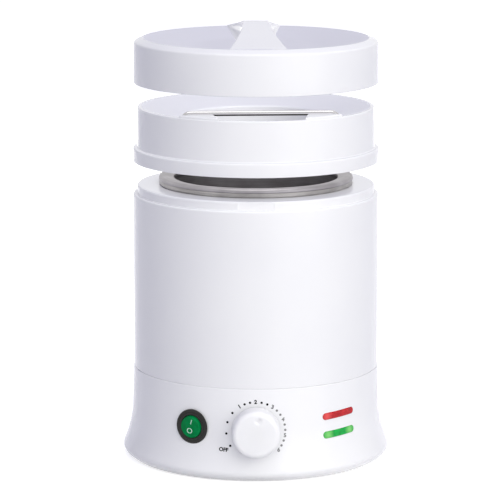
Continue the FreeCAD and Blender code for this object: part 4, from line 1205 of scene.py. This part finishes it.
wire_line = [
    (-wire_half_span, wire_height - wire_foot), (-wire_half_span, wire_height),
    (wire_half_span, wire_height), (wire_half_span, wire_height - wire_foot),
]
wire_place = spin(features_angle) @ shift(0, -wire_setback, 0)
wire_seat = bent_rod("tool", wire_line, wire_radius + 0.05 * mm, wire_bend)
combined(collar, moved(wire_seat, wire_place))


def on_funnel(x, y, z):
    """Share of painted shade: whether a place is on the slope of the funnel or in its throat.
    """
    reach = sqrt(x * x + y * y)
    slope = (reach - funnel_opening) / (rim_inner - funnel_opening)
    on_slope = abs(z - throat - slope * (collar_height - throat)) < 0.3 * mm
    inside = funnel_opening - 0.5 * mm < reach < rim_inner - 0.05 * mm
    in_throat = reach < funnel_opening + 0.5 * mm and z < throat
    return 1.0 if (inside and on_slope) or in_throat else 0.0


def painted_wire_shade(x, y, z):
    """Share of painted shade on the wire: its underside between the pads, and painted shadow
    at its feet.
    """
    along = min(max((wire_shade_half - abs(x)) / wire_shade_fade, 0), 1)
    below = (wire_height - z) / wire_radius
    under = min(max((below - wire_shade_from) / (wire_shade_to - wire_shade_from), 0), 1)
    foot = min(max((below - foot_shadow_from) / (foot_shadow_to - foot_shadow_from), 0), foot_shadow_share)
    return max(along * under, foot)


# painted shade on the funnel's slope and throat
masked(collar, "painted_shade", on_funnel)
coated(collar, with_painted_shade(shell_white, "collar_white", "painted_shade", funnel_painted_shade))
moved(collar, shift(0, 0, collar_base))
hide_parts("collar")
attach(collar, "collar")
wire = bent_rod("wiping_wire", wire_line, wire_radius, wire_bend)
# painted shade on the wire's underside and painted shadow at its feet
masked(wire, "wire_shade", painted_wire_shade)
coated(wire, with_painted_shade(wire_steel, "shaded_wire", "wire_shade", wire_shade_tone))
moved(wire, shift(0, 0, collar_base) @ wire_place)
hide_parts("scraper_wire")
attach(wire, "collar")

# ---- Lid -----------------------------------------------------------------------------
# A thin-walled moulded lid with a dished top and a grip across it, in the shape of a bow
# tie with a ridge in the middle. The grip is hollow from below, and four ribs inside the
# skirt of the lid stop on the collar's rim.

lid_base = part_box("lid")[0].z
lid_radius = 79.4 * mm
lid_shoulder = 79.1 * mm
lid_shoulder_height = 26.4 * mm
lid_height = 29.0 * mm
lid_wall = 1.5 * mm
lid_top = 2.0 * mm
dish_radius = 73.5 * mm
dish_flat = 40.4 * mm
dish_centre = 23.0 * mm
dish_rise = 0.4 * mm
dish_sweep = 70.0 * mm
grip_angle = 1.2
grip_waist = 8.2 * mm
grip_flare = 10.4 * mm
grip_power = 1.6
grip_ridge = 40.1 * mm
grip_slope = 0.151
ridge_softness = 3.0 * mm
grip_edge = 0.35 * mm
grip_undercut = 1.3 * mm
grip_foot = 1.4 * mm
grip_wall = 2.2 * mm
grip_sections = 84
merge_from = 69.0 * mm
merge_to = 76.5 * mm
# painted shade: the dish, out to this radius, gets a darker, bluer tone
dish_shade_edge = 73.08 * mm
dish_painted_shade = (0.67, 0.665, 0.735, 1)
rib_width = 3.0 * mm
rib_front = 78.6 * mm
rib_back = 75.0 * mm
rib_low = 19.6 * mm
rib_high = 25.4 * mm
rib_angles = (56.0, 146.0, 214.0, 304.0)

lid = turned(
    "wax_lid",
    rounded([
        (lid_radius, 0, 0.4 * mm), (lid_shoulder, lid_shoulder_height, 1.8 * mm),
        (dish_radius, lid_height, 1.5 * mm), (dish_flat, dish_centre + dish_rise, dish_sweep),
        (0, dish_centre), (0, dish_centre - lid_top),
        (dish_flat, dish_centre - lid_top + dish_rise, dish_sweep + lid_top),
        (dish_radius - lid_top / 2, lid_height - lid_top),
        (lid_shoulder - lid_wall, lid_shoulder_height - lid_top), (lid_radius - lid_wall, 0),
    ]),
    shell_white,
)
lid_tree = BVHTree.FromObject(lid, bpy.context.evaluated_depsgraph_get())


def lid_surface(x, y):
    """Height of the lid's upper face without its grip."""
    hit = lid_tree.ray_cast(Vector((x, y, 0.1)), Vector((0, 0, -1)))[0]
    return hit.z if hit is not None else lid_shoulder_height


def grip_half(y):
    return grip_waist + grip_flare * (abs(y) / dish_radius) ** grip_power


def grip_roof(y):
    return grip_ridge - grip_slope * sqrt(y * y + ridge_softness * ridge_softness)


def grip_ring(y):
    """Cross-section of the grip: roof, side, undercut and the foot that meets the dish."""
    half = grip_half(y)
    roof = grip_roof(y)
    side = max(roof - lid_surface(half + grip_foot, y), 0.05 * mm)
    share = min(side / (12 * mm), 1)
    edge = grip_edge * min(side / (1.5 * mm), 1)
    outline = [(0, roof), (half * 0.5, roof), (half - edge * 2.2, roof)]
    for step in range(5):
        turn = pi / 2 * (1 - step / 4)
        outline.append((half - edge + edge * cos(turn), roof - edge + edge * sin(turn)))
    bend = (
        (0.16, 0.02), (0.3, 0.35), (0.42, 0.82), (0.54, 1.0), (0.66, 0.92),
        (0.77, 0.62), (0.86, 0.15), (0.93, -0.4), (0.97, -0.75), (1.0, -1.08),
    )
    for down, inward in bend:
        out = -grip_undercut * share * max(inward, 0) + grip_foot * share * max(-inward, 0)
        outline.append((half + out, roof - edge - (side - edge) * down))
    outline.append((half + grip_foot * share, dish_centre - 0.8 * mm))
    outline.append((0, dish_centre - 0.8 * mm))
    ring = []
    mirrored = [(-x, z) for x, z in reversed(outline[1:-1])]
    for x, z in outline + mirrored:
        sunk = lid_surface(x, y) - 0.04 * mm
        away = (sqrt(x * x + y * y) - merge_from) / (merge_to - merge_from)
        away = min(max(away, 0), 1)
        away = away * away * (3 - 2 * away)
        if z > sunk:
            z = z * (1 - away) + sunk * away
        ring.append((x, y, z))
    return ring


sections = []
for step in range(grip_sections + 1):
    reach = 2 * step / grip_sections - 1
    bent = abs(reach) ** 1.25 * (1 if reach > 0 else -1)
    sections.append(grip_ring(bent * (merge_to + 0.3 * mm)))
grip = stacked("tool", sections)
combined(lid, moved(grip, spin(grip_angle)), "UNION")
core = []
for step in range(33):
    y = (step / 16 - 1) * (dish_radius - 3 * grip_wall)
    half = grip_half(y) - grip_wall
    top = grip_roof(y) - grip_wall
    low = dish_centre - 3 * lid_top
    core.append([(-half, y, low), (half, y, low), (half, y, top), (-half, y, top)])
combined(lid, moved(stacked("tool", core), spin(grip_angle)))
rib_half = rib_width / 2
rib_plan = [(-rib_half, -rib_front), (rib_half, -rib_front)]
rib_plan += [(rib_half, -rib_back), (-rib_half, -rib_back)]
for angle in rib_angles:
    combined(lid, moved(prism("tool", rib_plan, rib_low, rib_high), spin(angle)), "UNION")


def on_dish(x, y, z):
    """Share of painted shade: whether a place is on the dish of the lid, without the grip."""
    near = abs(z - lid_surface(x, y)) < 0.25 * mm
    return 1.0 if near and sqrt(x * x + y * y) < dish_shade_edge else 0.0


# painted shade on the dish of the lid
masked(lid, "painted_shade", on_dish)
coated(lid, with_painted_shade(shell_white, "lid_white", "painted_shade", dish_painted_shade))
moved(lid, shift(0, 0, lid_base))
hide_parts("lid")
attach(lid, "lid")

# the parts are held apart, and each is lit as if it stood alone
for part in (lid, collar, wire):
    part.visible_shadow = False
    part.visible_diffuse = False
    part.visible_glossy = False

# ---- Camera, lamps, backdrop and size ------------------------------------------------
# A long lens looks down a little on the heater, which stands on a pale floor. A wedge of
# the floor glows in reflections only, a painted reflection on the heater's right side. The
# light is a tall soft box at the front right, a soft top light and a box behind that no
# reflection shows, in a pale room that is brightest at the front.

camera = bpy.data.objects.new("camera", bpy.data.cameras.new("camera"))
camera.location = (-0.00385, -1.9381, 0.4893)
camera.rotation_euler = (radians(79.652), 0, 0)
camera.data.lens = 216
camera.data.sensor_width = 36
bpy.context.scene.collection.objects.link(camera)
bpy.context.scene.camera = camera

# angle from the front, height of the middle, distance, width, height, radiance and tint
lamps = {
    "key_box": (45.0, 0.6, 1.6, 1.3, 1.4, 0.52, (1.0, 1.0, 0.99)),
    "top_box": (0.0, 1.6, 0.25, 1.2, 1.0, 1.7, (1.0, 1.0, 1.0)),
    "back_box": (184.0, 0.2, 1.7, 0.9, 1.1, 4.4, (1.0, 1.0, 0.87)),
}
for name, (angle, height, away, width, tall, radiance, tint) in lamps.items():
    light = bpy.data.lights.new(name, "AREA")
    light.shape = "RECTANGLE"
    light.size = width
    light.size_y = tall
    light.energy = radiance * pi * width * tall
    light.color = tint
    lamp = bpy.data.objects.new(name, light)
    turn = radians(angle)
    lamp.location = (away * sin(turn), -away * cos(turn), height)
    aim = Vector((0, 0, 0.14)) - lamp.location
    lamp.rotation_euler = aim.to_track_quat("-Z", "Y").to_euler()
    lamp.visible_glossy = name != "back_box"
    bpy.context.scene.collection.objects.link(lamp)

room_shade = (0.03, 0.03, 0.17, 1)
room_bright = (2.32, 2.32, 2.2, 1)
bright_side = 21.0
bright_rise = 8.0
bright_focus = 1.5
world = bpy.data.worlds.new("room")
world.use_nodes = True
bpy.context.scene.world = world
sky = world.node_tree
sky.nodes.clear()
seen = add(sky, "LightPath").outputs
white_rays = calc(sky, "MAXIMUM", seen["Is Camera Ray"], seen["Is Glossy Ray"])
white_rays = calc(sky, "MAXIMUM", white_rays, seen["Is Transmission Ray"])
way = add(sky, "TexCoord").outputs["Generated"]
side = radians(bright_side)
rise = radians(bright_rise)
bright_way = (sin(side) * cos(rise), -cos(side) * cos(rise), sin(rise))
frontal = add(sky, "VectorMath", {0: way, 1: bright_way}, operation="DOT_PRODUCT")
focused = calc(sky, "POWER", ranged(sky, frontal.outputs["Value"]), bright_focus)
room = mixed(sky, white_rays, mixed(sky, focused, room_shade, room_bright), (1, 1, 1, 1))
background = add(sky, "Background", {"Color": room})
add(sky, "OutputWorld", {0: background.outputs[0]})

floor_tone = (0.66, 0.66, 0.67, 1)
floor_white = 0.72
# painted reflection: between these bearings the floor glows for reflections only, a brighter
# band on the right of the heater
painted_sheen_from = 12.5
painted_sheen_to = 62.0
painted_sheen_soft = 2.5
painted_sheen_strength = 0.3
floor_material, tree, shader = blank("pale_floor")
seen = add(tree, "LightPath").outputs
shown = calc(tree, "MAXIMUM", seen["Is Camera Ray"], seen["Is Glossy Ray"])
shown = calc(tree, "MULTIPLY", shown, floor_white)
spot = add(tree, "SeparateXYZ", {0: add(tree, "TexCoord").outputs["Object"]}).outputs
bearing = calc(tree, "ARCTAN2", spot[0], calc(tree, "MULTIPLY", spot[1], -1.0))
painted_sheen = seen["Is Glossy Ray"]
for start, end in (
    (painted_sheen_from - painted_sheen_soft, painted_sheen_from + painted_sheen_soft),
    (painted_sheen_to + painted_sheen_soft, painted_sheen_to - painted_sheen_soft),
):
    painted_sheen = calc(tree, "MULTIPLY", painted_sheen, ranged(tree, bearing, radians(start), radians(end)))
fed(tree, shader, {
    "Base Color": floor_tone,
    "Roughness": 1.0,
    "Specular IOR Level": 0.0,
    "Emission Color": (1, 1, 1, 1),
    "Emission Strength": calc(tree, "MULTIPLY_ADD", painted_sheen, painted_sheen_strength, shown),
})
floor_mesh = bpy.data.meshes.new("floor")
floor_mesh.from_pydata([(-6, -6, 0), (6, -6, 0), (6, 6, 0), (-6, 6, 0)], [], [(0, 1, 2, 3)])
floor = as_piece("floor", floor_mesh, floor_material)
floor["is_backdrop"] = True

bpy.context.scene.view_settings.view_transform = "Standard"
size = {
    "cad": [list(corner) for corner in cad_box],
    "visual": [list(corner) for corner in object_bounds()],
}
